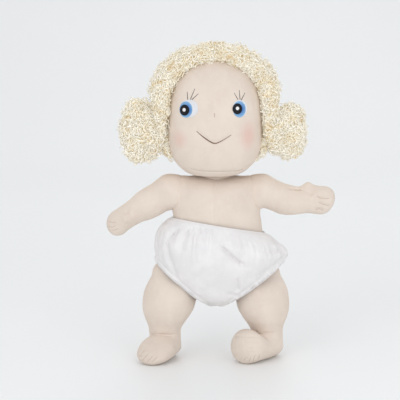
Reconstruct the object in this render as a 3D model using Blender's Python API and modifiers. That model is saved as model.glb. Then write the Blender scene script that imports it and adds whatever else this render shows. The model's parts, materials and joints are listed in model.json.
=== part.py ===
"""A cuddly cloth doll: stuffed head, body, arms and legs, curly yarn hair and white briefs.

The doll stands on the flat undersides of its feet. It faces -Y, and its right side is at -X.
All sizes are in metres.
"""
import math

import bmesh
import bpy
from mathutils import Matrix, Vector

# Cloth, thread and gaps
GAP = 0.0003
JOINT_GAP = 0.0006
SHOULDER_GAP = 0.0015
MERGE_DISTANCE = 0.00003
SKIN_THICKNESS = 0.0010
STUFFING_INSET = 0.0016
COTTON_THICKNESS = 0.0011
ELASTIC_THICKNESS = 0.0008
ELASTIC_WIDTH = 0.0050
THREAD_RADIUS = 0.0004
SEAM_THREAD_RADIUS = 0.00045
CUTTER_OVERRUN = 0.0300
SOLE_CUT = 0.0005

# Body
HIP_HEIGHT = 0.0900
BODY_HEIGHT = 0.0970
BODY_WIDTH = 0.1020
BODY_DEPTH = 0.0660
BODY_SEGMENTS = 20
# height, sideways, half width and half depth, from the shoulders down to the flat hip seam
BODY_SHARES = (
    (0.990, 0.000, 0.00, 0.00),
    (0.985, 0.000, 0.42, 0.24),
    (0.964, 0.000, 0.68, 0.48),
    (0.920, 0.000, 0.765, 0.71),
    (0.850, 0.000, 0.775, 0.875),
    (0.753, 0.000, 0.785, 0.965),
    (0.649, 0.000, 0.825, 1.00),
    (0.536, 0.010, 0.855, 0.985),
    (0.423, 0.022, 0.865, 0.92),
    (0.309, 0.020, 0.905, 0.76),
    (0.206, 0.010, 0.95, 0.55),
    (0.113, 0.000, 0.965, 0.31),
    (0.041, 0.000, 0.94, 0.11),
    (0.012, 0.000, 0.90, 0.03),
    (0.012, 0.000, 0.00, 0.00),
)

# Neck
NECK_BALL_STEPS = 12
NECK_BALL_RADIUS = 0.0170
NECK_RADIUS = 0.0140
NECK_BALL_DROP = 0.0090
NECK_BACK = 0.0020
NECK_LENGTH = 0.0270
NECK_SEGMENTS = 24
NECK_TIE_RADIUS = 0.0006
NECK_TIE_RISE = 0.0112
THREAD_SIDES = 6

# Head
HEAD_RISE = 0.0005
HEAD_HEIGHT = 0.1205
HEAD_WIDTH = 0.0930
HEAD_DEPTH = 0.0900
HEAD_SIDEWAYS = -0.0012
HEAD_FORWARD = 0.0030
HEAD_SEGMENTS = 24
# height, half width, half depth and forward, from the crown down to the gathered neck opening
HEAD_SHARES = (
    (1.000, 0.00, 0.00, 1.0),
    (0.980, 0.26, 0.26, 1.0),
    (0.944, 0.47, 0.47, 1.0),
    (0.884, 0.67, 0.67, 1.0),
    (0.809, 0.83, 0.83, 1.0),
    (0.710, 0.945, 0.935, 1.0),
    (0.585, 1.00, 0.995, 1.0),
    (0.452, 1.00, 1.00, 1.0),
    (0.320, 1.00, 0.985, 1.0),
    (0.203, 0.958, 0.940, 1.0),
    (0.112, 0.850, 0.850, 1.0),
    (0.046, 0.690, 0.710, 1.0),
    (0.009, 0.530, 0.560, 0.6),
    (0.014, 0.430, 0.440, -0.5),
)
NECK_OPENING_RISE = 0.0035

# Face, as places on the head: sideways from its centre line and up from its base
EYE_LIFT = 0.0003
EYE_THICKNESS = 0.0006
EYE_HEIGHT_SHARE = 0.607
EYE_SEGMENTS = 16
RIGHT_EYE_X = -0.0258
LEFT_EYE_X = 0.0245
RIGHT_EYE_HALF_WIDTH = 0.0090
LEFT_EYE_HALF_WIDTH = 0.0076
EYE_HALF_HEIGHT = 0.0089
RIGHT_IRIS_X = -0.0281
LEFT_IRIS_X = 0.0232
IRIS_RADIUS = 0.0064
IRIS_RAISE_SHARE = -0.12
RIGHT_PUPIL_X = -0.0292
LEFT_PUPIL_X = 0.0222
PUPIL_RADIUS = 0.0046
GLINT_RADIUS = 0.0016
LASH_HEIGHT = 0.0090
# each lash: foot sideways, tip sideways and tip height, as shares of the eye's half width and the lash
LASH_SHARES = (
    ("outer", -0.45, -0.75, 0.85),
    ("middle", 0.05, 0.05, 1.00),
    ("inner", 0.50, 0.95, 0.80),
)
LASH_POINTS = 4
MOUTH_HALF_WIDTH = 0.0168
MOUTH_SIDEWAYS = -0.0005
MOUTH_HEIGHT_SHARE = 0.325
MOUTH_CORNER_SHARES = (0.092, 0.066)
MOUTH_CURVE = 1.25
MOUTH_POINTS = 9
NOSE_HEIGHT_SHARE = 0.567
NOSE_HALF_WIDTH = 0.0018
CHIN_SEAM_HALF_WIDTH = 0.0250
CHIN_SEAM_HEIGHT_SHARE = 0.062
CHIN_SEAM_POINTS = 9

# Hair
HAIR_TOP = 0.0140
HAIR_SIDE = 0.0190
HAIR_BACK = 0.0160
HAIR_SEGMENTS = 24
HAIR_FRONT_Y = -0.0060
HAIR_HEM_SHARE = 0.130
# height, half width and half depth as shares of the hair's own outer size
HAIR_SHARES = (
    (1.000, 0.00, 0.00),
    (0.985, 0.30, 0.30),
    (0.945, 0.53, 0.53),
    (0.880, 0.735, 0.73),
    (0.800, 0.885, 0.87),
    (0.700, 0.985, 0.95),
    (0.600, 1.000, 0.985),
    (0.500, 0.960, 1.000),
    (0.380, 0.890, 0.990),
    (0.260, 0.850, 0.950),
    (0.150, 0.800, 0.880),
    (0.070, 0.600, 0.660),
    (0.000, 0.00, 0.00),
)
FRINGE_RADIUS = 0.0102
FRINGE_SPREAD_SHARE = 0.580645
FRINGE_HALF_SPREAD = HEAD_WIDTH * FRINGE_SPREAD_SHARE
FRINGE_CENTRE_SHARE = 0.570
FRINGE_TURN = math.radians(86)
FRINGE_FORWARD = 0.0128
FRINGE_POINTS = 21
FRINGE_SEGMENTS = 12
BUNCH_HEIGHT_SHARE = 0.355
BUNCH_BALL_RADIUS = 0.0070
BUNCH_BALL_STEPS = 4
RIGHT_BUNCH_LENGTH = 0.0450
LEFT_BUNCH_LENGTH = 0.0410
RIGHT_BUNCH_HALF_HEIGHT = 0.0335
LEFT_BUNCH_HALF_HEIGHT = 0.0300
BUNCH_HALF_DEPTH = 0.0250
BUNCH_SEGMENTS = 16
# along the bunch, half height and half depth
BUNCH_SHARES = (
    (0.06, 0.27, 0.36),
    (0.16, 0.47, 0.54),
    (0.28, 0.70, 0.76),
    (0.44, 0.92, 0.94),
    (0.60, 1.00, 1.00),
    (0.76, 0.92, 0.92),
    (0.89, 0.70, 0.70),
    (0.97, 0.38, 0.38),
    (1.00, 0.00, 0.00),
)
HAIR_TIE_RADIUS = 0.0011
HAIR_TIE_RING_RADIUS = 0.0078
HAIR_TIE_SEGMENTS = 14
TIE_CLEARANCE = 0.0085

# Arms
SHOULDER_SPAN_SHARE = 0.446
SHOULDER_HALF_SPAN = BODY_WIDTH * SHOULDER_SPAN_SHARE
SHOULDER_DROP = 0.0168
SHOULDER_BALL_RADIUS = 0.0173
SHOULDER_SEAM_TURN = math.radians(55)
SHOULDER_SEAM_LIFT = 0.0007
SHOULDER_SEAM_SEGMENTS = 18
SHOULDER_SEAM_SIDES = 5
ARM_LENGTH = 0.0740
ARM_HALF_HEIGHT = 0.0160
ARM_HALF_DEPTH = 0.0150
ARM_SEGMENTS = 14
RIGHT_ARM_TILT = math.radians(30)
LEFT_ARM_TILT = math.radians(7)
# along, half height and half depth past the shoulder ball, then the sag of the right and of the left arm
ARM_SHARES = (
    (0.170, 0.990, 0.980, 0.000, 0.035),
    (0.290, 0.990, 0.970, 0.000, 0.070),
    (0.420, 0.930, 0.900, 0.000, 0.080),
    (0.530, 0.810, 0.790, 0.000, 0.078),
    (0.640, 0.760, 0.700, 0.006, 0.062),
    (0.750, 0.840, 0.720, 0.014, 0.040),
    (0.850, 0.880, 0.680, 0.026, 0.024),
    (0.930, 0.720, 0.540, 0.036, 0.012),
    (0.980, 0.420, 0.330, 0.042, 0.004),
    (1.000, 0.000, 0.000, 0.044, 0.000),
)
RIGHT_HAND_SHARE = 0.88
LEFT_HAND_SHARE = 1.00
BALL_TURNS = (math.radians(20), math.radians(42), math.radians(64), math.radians(86), math.radians(105))
THUMB_REACH = 0.0075
THUMB_PUSH = 0.0068
THUMB_ALONG_SHARE = 0.65
FINGER_STITCH_SHARES = (("upper", 0.50), ("middle", 0.06), ("lower", -0.42))
FINGER_STITCH_ROWS = (3.4, 1.5)
FINGER_STITCH_POINTS = 5

# Legs
HIP_HALF_SPAN = 0.0370
LEG_WIDTH = 0.0540
LEG_DEPTH = 0.0500
LEG_SEGMENTS = 16
# height, sideways, half width and half depth, from the flat hip seam down to the ankle
LEG_SHARES = (
    (0.987, 0.00, 0.00, 0.00),
    (0.987, 0.00, 0.90, 0.05),
    (0.933, 0.03, 0.95, 0.19),
    (0.856, 0.09, 0.99, 0.43),
    (0.767, 0.15, 1.00, 0.69),
    (0.667, 0.18, 1.00, 0.91),
    (0.556, 0.205, 0.95, 1.00),
    (0.456, 0.235, 0.82, 0.92),
    (0.378, 0.255, 0.68, 0.78),
    (0.320, 0.270, 0.61, 0.69),
)
FOOT_LENGTH = 0.0580
FOOT_HEIGHT = 0.0265
FOOT_WIDTH = 0.0385
RIGHT_FOOT_TURN = math.radians(23)
LEFT_FOOT_TURN = math.radians(40)
# forward, height, half width and half height of the foot's sections, and each section's lean
RIGHT_FOOT_SHARES = (
    (-0.009, 0.745, 0.83, 0.690, 26),
    (0.030, 0.530, 0.89, 0.700, 42),
    (0.172, 0.485, 0.95, 0.566, 62),
    (0.345, 0.445, 0.98, 0.462, 81),
    (0.526, 0.365, 0.87, 0.382, 88),
    (0.652, 0.300, 0.65, 0.288, 90),
    (0.715, 0.276, 0.39, 0.176, 90),
    (0.741, 0.268, 0.00, 0.000, 90),
)
# the same for the left foot, whose toes point up a little
LEFT_FOOT_SHARES = (
    (-0.009, 0.745, 0.83, 0.690, 26),
    (0.030, 0.530, 0.89, 0.700, 42),
    (0.172, 0.505, 0.95, 0.592, 62),
    (0.345, 0.580, 0.98, 0.602, 82),
    (0.526, 0.645, 1.00, 0.670, 90),
    (0.652, 0.610, 0.84, 0.590, 90),
    (0.728, 0.560, 0.50, 0.360, 90),
    (0.760, 0.545, 0.00, 0.000, 90),
)
# how far each of a foot's sections has taken up the turn of the foot
FOOT_TWIST_SHARES = (0.30, 0.65, 1.00, 1.00, 1.00, 1.00, 1.00, 1.00)
TOE_STITCH_SHARES = (("first", 0.60), ("second", 0.20), ("third", -0.20), ("fourth", -0.60))
TOE_STITCH_ROWS = (3.0, 1.3)
TOE_STITCH_POINTS = 7
HIP_SEAM_HALF_LENGTH = 0.0225
HIP_SEAM_RADIUS = 0.0007
HIP_SEAM_SEGMENTS = 8

# Briefs
BRIEFS_WIDTH_SHARE = 1.3137
BRIEFS_WIDTH = BODY_WIDTH * BRIEFS_WIDTH_SHARE
BRIEFS_DEPTH_SHARE = 1.303
BRIEFS_DEPTH = BODY_DEPTH * BRIEFS_DEPTH_SHARE
BRIEFS_TOP = 0.1460
BRIEFS_BOTTOM = 0.0535
BRIEFS_SEGMENTS = 36
WAIST_WIDTH_SHARE = 0.951
WAIST_WIDTH = BODY_WIDTH * WAIST_WIDTH_SHARE
WAIST_DEPTH_SHARE = 1.106
WAIST_DEPTH = BODY_DEPTH * WAIST_DEPTH_SHARE
WAIST_SIDEWAYS = 0.0022
ELASTIC_GAP = 0.0008
WAIST_LEFT_HEIGHT = 0.1280
WAIST_RIGHT_HEIGHT = 0.1440
WAIST_FRONT_RISE = 0.0050
HEM_DROP = 0.0010
# rise of the waist casing's rings above the middle of the waist
WAIST_RISES = (0.0100, 0.0, -0.0045, -0.0090)
# height, sideways, half width, half depth and tilt below the waist casing
BRIEFS_SHARES = (
    (0.800, 0.034, 0.890, 0.910, 0.95),
    (0.725, 0.038, 0.960, 0.970, 0.75),
    (0.640, 0.040, 1.000, 1.000, 0.50),
    (0.550, 0.032, 0.975, 0.990, 0.25),
    (0.455, 0.026, 0.945, 0.950, 0.10),
    (0.360, 0.022, 0.890, 0.890, 0.00),
    (0.265, 0.020, 0.785, 0.830, 0.00),
    (0.175, 0.016, 0.635, 0.750, 0.00),
    (0.095, 0.010, 0.440, 0.620, 0.00),
    (0.035, 0.004, 0.240, 0.420, 0.00),
    (0.006, 0.002, 0.110, 0.200, 0.00),
    (0.000, 0.000, 0.000, 0.000, 0.00),
)
LEG_OPENING_TOP_SHARES = (0.480, 0.450)
LEG_OPENING_OUTER_SHARES = (-0.4515, 0.4850)
LEG_OPENING_LOW_SHARES = (0.042, 0.060)
LEG_OPENING_INNER_SHARES = (-0.0970, 0.1194)
FOLD_DEPTH = 0.0024
FOLD_WIDTH = 0.0060
# each fold on the front: from and to, sideways and height, as shares of the briefs' width and height
FOLD_SHARES = (
    (0.03, 0.64, 0.23, 0.42),
    (-0.27, 0.82, -0.37, 0.66),
    (-0.37, 0.66, -0.32, 0.44),
    (0.29, 0.60, 0.53, 0.59),
    (0.48, 0.52, 0.31, 0.36),
)

# Materials: colour, roughness
SKIN_JERSEY = ((0.78, 0.68, 0.60, 1.0), 0.95)
WOOL_FILL = ((0.86, 0.84, 0.80, 1.0), 1.0)
COTTON = ((0.86, 0.85, 0.86, 1.0), 0.9)
ELASTIC = ((0.80, 0.80, 0.80, 1.0), 0.6)
CURLY_YARN = ((0.83, 0.74, 0.50, 1.0), 0.9)
SEWING_THREAD = ((0.62, 0.52, 0.45, 1.0), 0.8)
DARK_THREAD = ((0.20, 0.15, 0.13, 1.0), 0.7)
WHITE_THREAD = ((0.88, 0.88, 0.88, 1.0), 0.6)
BLUE_THREAD = ((0.10, 0.30, 0.62, 1.0), 0.5)
BLACK_THREAD = ((0.01, 0.01, 0.015, 1.0), 0.5)

RIGHT = -1
LEFT = 1
UP = Vector((0, 0, 1))
FORWARD = Vector((0, -1, 0))
SIDEWAYS = Vector((1, 0, 0))


class Section:
    """One ring of a soft form: an ellipse with a centre and two half axes."""

    def __init__(self, centre, across, over):
        self.centre = Vector(centre)
        self.across = Vector(across)
        self.over = Vector(over)

    def point(self, turn):
        return self.centre + self.across * math.cos(turn) + self.over * math.sin(turn)


def clear_scene():
    for thing in list(bpy.data.objects):
        bpy.data.objects.remove(thing, do_unlink=True)


def make_collection(name):
    collection = bpy.data.collections.new(name)
    bpy.context.scene.collection.children.link(collection)
    return collection


def make_empty(name, place, parent, collection):
    """An empty at a place given in the doll's frame."""
    empty = bpy.data.objects.new(name, None)
    empty.location = Vector(place) - pivot_of(parent)
    empty.parent = parent
    collection.objects.link(empty)
    return empty


def pivot_of(empty):
    """Where an empty lies in the doll's frame."""
    place = Vector((0, 0, 0))
    while empty is not None and empty.parent is not None:
        place += empty.location
        empty = empty.parent
    return place


def material(name, finish):
    made = bpy.data.materials.get(name)
    if made is None:
        made = bpy.data.materials.new(name)
        made.use_nodes = True
        shader = made.node_tree.nodes["Principled BSDF"]
        shader.inputs["Base Color"].default_value = finish[0]
        shader.inputs["Roughness"].default_value = finish[1]
        shader.inputs["Metallic"].default_value = 0.0
    return made


def place_object(thing, parent, finish, collection):
    """Hang an object made in the doll's frame on its joint's empty."""
    pivot = pivot_of(parent)
    if thing.type == "MESH":
        thing.data.transform(Matrix.Translation(-pivot))
        thing.data.shade_smooth()
    else:
        thing.location = -pivot
    thing.parent = parent
    thing.data.materials.append(material(thing.name + "_finish", finish))
    collection.objects.link(thing)
    return thing


def mesh_object(name, form):
    """Turn a bmesh into an object."""
    mesh = bpy.data.meshes.new(name)
    form.to_mesh(mesh)
    form.free()
    return bpy.data.objects.new(name, mesh)


def soft_form(sections, segments):
    """A UV sphere whose rings move to the sections, with its poles at the first and last centre."""
    form = bmesh.new()
    rows = len(sections) - 1
    bmesh.ops.create_uvsphere(form, u_segments=segments, v_segments=rows, radius=1.0)
    for vertex in form.verts:
        row = round(math.acos(max(-1.0, min(1.0, vertex.co.z))) / math.pi * rows)
        turn = math.atan2(vertex.co.y, vertex.co.x)
        vertex.co = sections[row].point(turn)
    form.normal_update()
    bmesh.ops.recalc_face_normals(form, faces=form.faces)
    return form


def swell(form, distance):
    """Move a closed form's surface along its normals, outward where the distance is positive."""
    form.normal_update()
    moves = [(vertex, vertex.normal * distance) for vertex in form.verts]
    for vertex, move in moves:
        vertex.co += move


def open_pole(form, place):
    """Take away the fan of faces round the vertex nearest to a place."""
    pole = min(form.verts, key=lambda vertex: (vertex.co - place).length)
    bmesh.ops.delete(form, geom=[pole], context="VERTS")


def add_thickness(thing, thickness):
    shell = thing.modifiers.new("cloth", "SOLIDIFY")
    shell.thickness = thickness
    shell.offset = -1.0


def add_cut(thing, cutter, operation="DIFFERENCE"):
    cut = thing.modifiers.new(cutter.name, "BOOLEAN")
    cut.operation = operation
    cut.solver = "EXACT"
    cut.object = cutter


def make_cutter(name, form, root, collection):
    """A guide solid in the doll's frame that other pieces are cut with."""
    cutter = mesh_object(name, form)
    cutter.parent = root
    cutter.hide_render = True
    cutter.display_type = "WIRE"
    collection.objects.link(cutter)
    return cutter


def ball_form(centre, radius, segments):
    form = bmesh.new()
    bmesh.ops.create_uvsphere(form, u_segments=segments, v_segments=segments // 2, radius=radius)
    bmesh.ops.translate(form, verts=form.verts, vec=centre)
    return form


def box_form(low, high):
    form = bmesh.new()
    bmesh.ops.create_cube(form, size=1.0)
    size = [high[i] - low[i] for i in range(3)]
    bmesh.ops.scale(form, verts=form.verts, vec=size)
    middle = [(high[i] + low[i]) / 2 for i in range(3)]
    bmesh.ops.translate(form, verts=form.verts, vec=middle)
    return form


def rod_form(start, end, radius, segments):
    """A closed cylinder from one point to another."""
    form = bmesh.new()
    along = Vector(end) - Vector(start)
    bmesh.ops.create_cone(
        form, cap_ends=True, segments=segments, radius1=radius, radius2=radius, depth=along.length
    )
    turn = UP.rotation_difference(along).to_matrix()
    bmesh.ops.rotate(form, verts=form.verts, cent=(0, 0, 0), matrix=turn)
    bmesh.ops.translate(form, verts=form.verts, vec=(Vector(start) + Vector(end)) / 2)
    return form


def thread(name, points, radius, closed=False):
    """A sewing thread as a round curve through its points."""
    curve = bpy.data.curves.new(name, "CURVE")
    curve.dimensions = "3D"
    curve.bevel_depth = radius
    curve.bevel_resolution = 1
    curve.use_fill_caps = not closed
    spline = curve.splines.new("POLY")
    spline.points.add(len(points) - 1)
    for knot, point in zip(spline.points, points):
        knot.co = (*point, 1.0)
    spline.use_cyclic_u = closed
    return bpy.data.objects.new(name, curve)


def ring_form(centre, axis, ring_radius, tube_radius, segments, sides):
    """A closed ring round an axis, from a small circle spun once round."""
    form = bmesh.new()
    circle = bmesh.ops.create_circle(form, segments=sides, radius=tube_radius)["verts"]
    bmesh.ops.rotate(form, verts=circle, cent=(0, 0, 0), matrix=Matrix.Rotation(math.pi / 2, 3, "X"))
    bmesh.ops.translate(form, verts=circle, vec=(ring_radius, 0, 0))
    bmesh.ops.spin(
        form, geom=form.verts[:] + form.edges[:], cent=(0, 0, 0), axis=(0, 0, 1),
        angle=2 * math.pi, steps=segments, use_merge=True,
    )
    bmesh.ops.recalc_face_normals(form, faces=form.faces)
    turn = UP.rotation_difference(Vector(axis)).to_matrix()
    bmesh.ops.rotate(form, verts=form.verts, cent=(0, 0, 0), matrix=turn)
    bmesh.ops.translate(form, verts=form.verts, vec=centre)
    return form


def along_sections(sections, turn, start, end, count, lift):
    """Points on a form's surface at one turn round it, between two places along its sections."""
    points = []
    for step in range(count):
        place = start + (end - start) * step / (count - 1)
        row = min(int(place), len(sections) - 2)
        share = place - row
        here = sections[row].point(turn).lerp(sections[row + 1].point(turn), share)
        middle = sections[row].centre.lerp(sections[row + 1].centre, share)
        points.append(here + (here - middle).normalized() * lift)
    return points


# Where the joints are
SHOULDER_TOP = HIP_HEIGHT + BODY_HEIGHT
NECK_PIVOT = Vector((0, NECK_BACK, SHOULDER_TOP - NECK_BALL_DROP))
SHOULDER_Z = SHOULDER_TOP - SHOULDER_DROP
HEAD_BASE = SHOULDER_TOP + HEAD_RISE
BUNCH_Z = HEAD_BASE + HEAD_HEIGHT * BUNCH_HEIGHT_SHARE
BUNCH_HALF_SPAN = HEAD_WIDTH / 2 + BUNCH_BALL_RADIUS + GAP


def shoulder_pivot(side):
    return Vector((side * SHOULDER_HALF_SPAN, 0, SHOULDER_Z))


def hip_pivot(side):
    return Vector((side * HIP_HALF_SPAN, 0, HIP_HEIGHT))


def bunch_pivot(side):
    return Vector((HEAD_SIDEWAYS + side * BUNCH_HALF_SPAN, 0, BUNCH_Z))


def body_sections():
    sections = []
    for height, sideways, wide, deep in BODY_SHARES:
        centre = (BODY_WIDTH * sideways, 0, HIP_HEIGHT + BODY_HEIGHT * height)
        sections.append(Section(centre, (BODY_WIDTH / 2 * wide, 0, 0), (0, BODY_DEPTH / 2 * deep, 0)))
    return sections


def head_sections():
    """Rings of the head, the last of them turned up round the neck."""
    sections = []
    for height, wide, deep, forward in HEAD_SHARES:
        centre = (HEAD_SIDEWAYS, -HEAD_FORWARD * forward, HEAD_BASE + HEAD_HEIGHT * height)
        sections.append(Section(centre, (HEAD_WIDTH / 2 * wide, 0, 0), (0, HEAD_DEPTH / 2 * deep, 0)))
    opening = NECK_RADIUS + SKIN_THICKNESS + 2 * GAP
    rim = Vector((NECK_PIVOT.x, NECK_PIVOT.y, HEAD_BASE + NECK_OPENING_RISE))
    sections.append(Section(rim, (opening, 0, 0), (0, opening, 0)))
    sections.append(Section(rim + UP * SKIN_THICKNESS, (0, 0, 0), (0, 0, 0)))
    return sections


def hair_sections():
    width = HEAD_WIDTH / 2 + HAIR_SIDE
    depth = HEAD_DEPTH / 2 + HAIR_BACK
    sections = []
    for height, wide, deep in HAIR_SHARES:
        centre = (HEAD_SIDEWAYS, -HEAD_FORWARD, HEAD_BASE + (HEAD_HEIGHT + HAIR_TOP) * height)
        sections.append(Section(centre, (width * wide, 0, 0), (0, depth * deep, 0)))
    return sections


def arm_sections(side):
    """Rings along an arm: the round shoulder ball first, then the arm out to the finger tips."""
    tilt = RIGHT_ARM_TILT if side == RIGHT else LEFT_ARM_TILT
    hand = RIGHT_HAND_SHARE if side == RIGHT else LEFT_HAND_SHARE
    along = Vector((side * math.cos(tilt), 0, -math.sin(tilt)))
    up = Vector((side * math.sin(tilt), 0, math.cos(tilt)))
    start = shoulder_pivot(side)
    sections = [Section(start - along * SHOULDER_BALL_RADIUS, (0, 0, 0), (0, 0, 0))]
    for turn in BALL_TURNS:
        radius = SHOULDER_BALL_RADIUS * math.sin(turn)
        centre = start - along * SHOULDER_BALL_RADIUS * math.cos(turn)
        sections.append(Section(centre, up * radius, FORWARD * radius))
    for share, high, deep, right_sag, left_sag in ARM_SHARES:
        sag = right_sag if side == RIGHT else left_sag
        centre = start + along * ARM_LENGTH * share - up * ARM_LENGTH * sag
        flatten = 1.0 if share < THUMB_ALONG_SHARE else hand
        tall = up * ARM_HALF_HEIGHT * high * flatten
        sections.append(Section(centre, tall, FORWARD * ARM_HALF_DEPTH * deep / flatten))
    return sections


def leg_sections(side):
    """Rings down a leg from the flat hip seam, then forward along the foot to the toes."""
    sections = []
    for height, spread, wide, deep in LEG_SHARES:
        centre = (side * (HIP_HALF_SPAN + LEG_WIDTH * spread), 0, HIP_HEIGHT * height)
        sections.append(Section(centre, (LEG_WIDTH / 2 * wide, 0, 0), (0, LEG_DEPTH / 2 * deep, 0)))
    turn = RIGHT_FOOT_TURN if side == RIGHT else LEFT_FOOT_TURN
    foot_shares = RIGHT_FOOT_SHARES if side == RIGHT else LEFT_FOOT_SHARES
    ankle = Vector((sections[-1].centre.x, 0, 0))
    for (ahead, height, wide, tall, lean_degrees), twist in zip(foot_shares, FOOT_TWIST_SHARES):
        turned = Matrix.Rotation(-turn * twist, 3, "Z")
        toward = turned @ FORWARD
        across = turned @ SIDEWAYS
        lean = math.radians(lean_degrees)
        centre = ankle + toward * FOOT_LENGTH * ahead + UP * (FOOT_HEIGHT * height - SOLE_CUT)
        over = toward * math.cos(lean) + UP * math.sin(lean)
        sections.append(Section(centre, across * FOOT_WIDTH / 2 * wide, -over * FOOT_HEIGHT * tall))
    return sections


def briefs_sections():
    """Rings of the briefs from above the waist down to the crotch."""
    height = BRIEFS_TOP - BRIEFS_BOTTOM
    slope = (WAIST_LEFT_HEIGHT - WAIST_RIGHT_HEIGHT) / WAIST_WIDTH
    middle = Vector((WAIST_SIDEWAYS, 0, (WAIST_RIGHT_HEIGHT + WAIST_LEFT_HEIGHT) / 2))
    across = Vector((WAIST_WIDTH / 2, 0, WAIST_WIDTH / 2 * slope))
    over = Vector((0, WAIST_DEPTH / 2, -WAIST_FRONT_RISE))
    sections = [Section(middle + UP * WAIST_RISES[0], (0, 0, 0), (0, 0, 0))]
    for rise in WAIST_RISES:
        sections.append(Section(middle + UP * rise, across, over))
    for share, sideways, wide, deep, tilt in BRIEFS_SHARES:
        centre = (BRIEFS_WIDTH * sideways, 0, BRIEFS_BOTTOM + height * share)
        half = BRIEFS_WIDTH / 2 * wide
        back = Vector((0, BRIEFS_DEPTH / 2 * deep, -WAIST_FRONT_RISE * tilt))
        sections.append(Section(centre, (half, 0, half * slope * tilt), back))
    return sections


def press_folds(form):
    """Sink the main folds into the front of the briefs."""
    height = BRIEFS_TOP - BRIEFS_BOTTOM
    form.normal_update()
    moves = []
    for vertex in form.verts:
        if vertex.co.y > 0:
            continue
        depth = 0.0
        for start_x, start_z, end_x, end_z in FOLD_SHARES:
            start = Vector((BRIEFS_WIDTH * start_x, BRIEFS_BOTTOM + height * start_z))
            end = Vector((BRIEFS_WIDTH * end_x, BRIEFS_BOTTOM + height * end_z))
            here = Vector((vertex.co.x, vertex.co.z))
            run = end - start
            share = max(0.0, min(1.0, (here - start).dot(run) / run.length_squared))
            away = (here - start - run * share).length / FOLD_WIDTH
            depth = max(depth, FOLD_DEPTH * math.exp(-away * away))
        moves.append((vertex, -vertex.normal * depth))
    for vertex, move in moves:
        vertex.co += move


def briefs_form():
    form = soft_form(briefs_sections(), BRIEFS_SEGMENTS)
    press_folds(form)
    return form


def waist_plane(drop):
    """A point and the upward normal of the tilted waist, a drop below its edge."""
    left = Vector((WAIST_SIDEWAYS + WAIST_WIDTH / 2, 0, WAIST_LEFT_HEIGHT))
    right = Vector((WAIST_SIDEWAYS - WAIST_WIDTH / 2, 0, WAIST_RIGHT_HEIGHT))
    ahead = FORWARD * WAIST_DEPTH / 2 + UP * WAIST_FRONT_RISE
    normal = ahead.cross(left - right).normalized()
    return right - normal * drop, normal


def leg_plane(side, drop):
    """A point and the outward normal of a leg opening, a drop inside its edge."""
    index = 0 if side == RIGHT else 1
    height = BRIEFS_TOP - BRIEFS_BOTTOM
    outer_x = BRIEFS_WIDTH * LEG_OPENING_OUTER_SHARES[index]
    inner_x = BRIEFS_WIDTH * LEG_OPENING_INNER_SHARES[index]
    outer = Vector((outer_x, 0, BRIEFS_BOTTOM + height * LEG_OPENING_TOP_SHARES[index]))
    inner = Vector((inner_x, 0, BRIEFS_BOTTOM + height * LEG_OPENING_LOW_SHARES[index]))
    normal = (outer - inner).cross(FORWARD).normalized() * side
    return outer - normal * drop, normal


def trim(form, plane, keep_below=True):
    """Cut an open surface at a plane and drop what lies beyond it."""
    place, normal = plane
    bmesh.ops.bisect_plane(
        form, geom=form.verts[:] + form.edges[:] + form.faces[:], dist=MERGE_DISTANCE,
        plane_co=place, plane_no=normal, clear_outer=keep_below, clear_inner=not keep_below,
    )


def make_briefs(root, parts):
    form = briefs_form()
    trim(form, waist_plane(0))
    for side in (RIGHT, LEFT):
        trim(form, leg_plane(side, 0))
    cloth = mesh_object("briefs_cloth", form)
    add_thickness(cloth, COTTON_THICKNESS)
    place_object(cloth, root, COTTON, parts)


def make_elastic(name, plane_at, parent, parts):
    """A flat elastic band inside the edge of the cloth at one of its openings."""
    form = briefs_form()
    swell(form, -(COTTON_THICKNESS + ELASTIC_GAP))
    trim(form, plane_at(HEM_DROP))
    trim(form, plane_at(HEM_DROP + ELASTIC_WIDTH), keep_below=False)
    band = mesh_object(name, form)
    add_thickness(band, ELASTIC_THICKNESS)
    place_object(band, parent, ELASTIC, parts)


def make_body(root, parts, cutters):
    """The body's jersey skin and its wool, both hollowed for the neck and the shoulders."""
    sections = body_sections()
    neck = ball_form(NECK_PIVOT, NECK_BALL_RADIUS + JOINT_GAP, NECK_SEGMENTS)
    sockets = [make_cutter("neck_socket", neck, root, cutters)]
    radius = SHOULDER_BALL_RADIUS + GAP + SHOULDER_GAP + 2 * SEAM_THREAD_RADIUS
    for side, name in ((RIGHT, "right_shoulder_socket"), (LEFT, "left_shoulder_socket")):
        ball = ball_form(shoulder_pivot(side), radius, NECK_SEGMENTS)
        sockets.append(make_cutter(name, ball, root, cutters))
    skin = mesh_object("body_skin", soft_form(sections, BODY_SEGMENTS))
    add_thickness(skin, SKIN_THICKNESS)
    low_end = Section(sections[-3].centre, (0, 0, 0), (0, 0, 0))
    fill_form = soft_form(sections[:-2] + [low_end], BODY_SEGMENTS // 2)
    swell(fill_form, -STUFFING_INSET)
    fill = mesh_object("body_stuffing", fill_form)
    for thing, finish in ((skin, SKIN_JERSEY), (fill, WOOL_FILL)):
        for socket in sockets:
            add_cut(thing, socket)
        place_object(thing, root, finish, parts)


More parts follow.
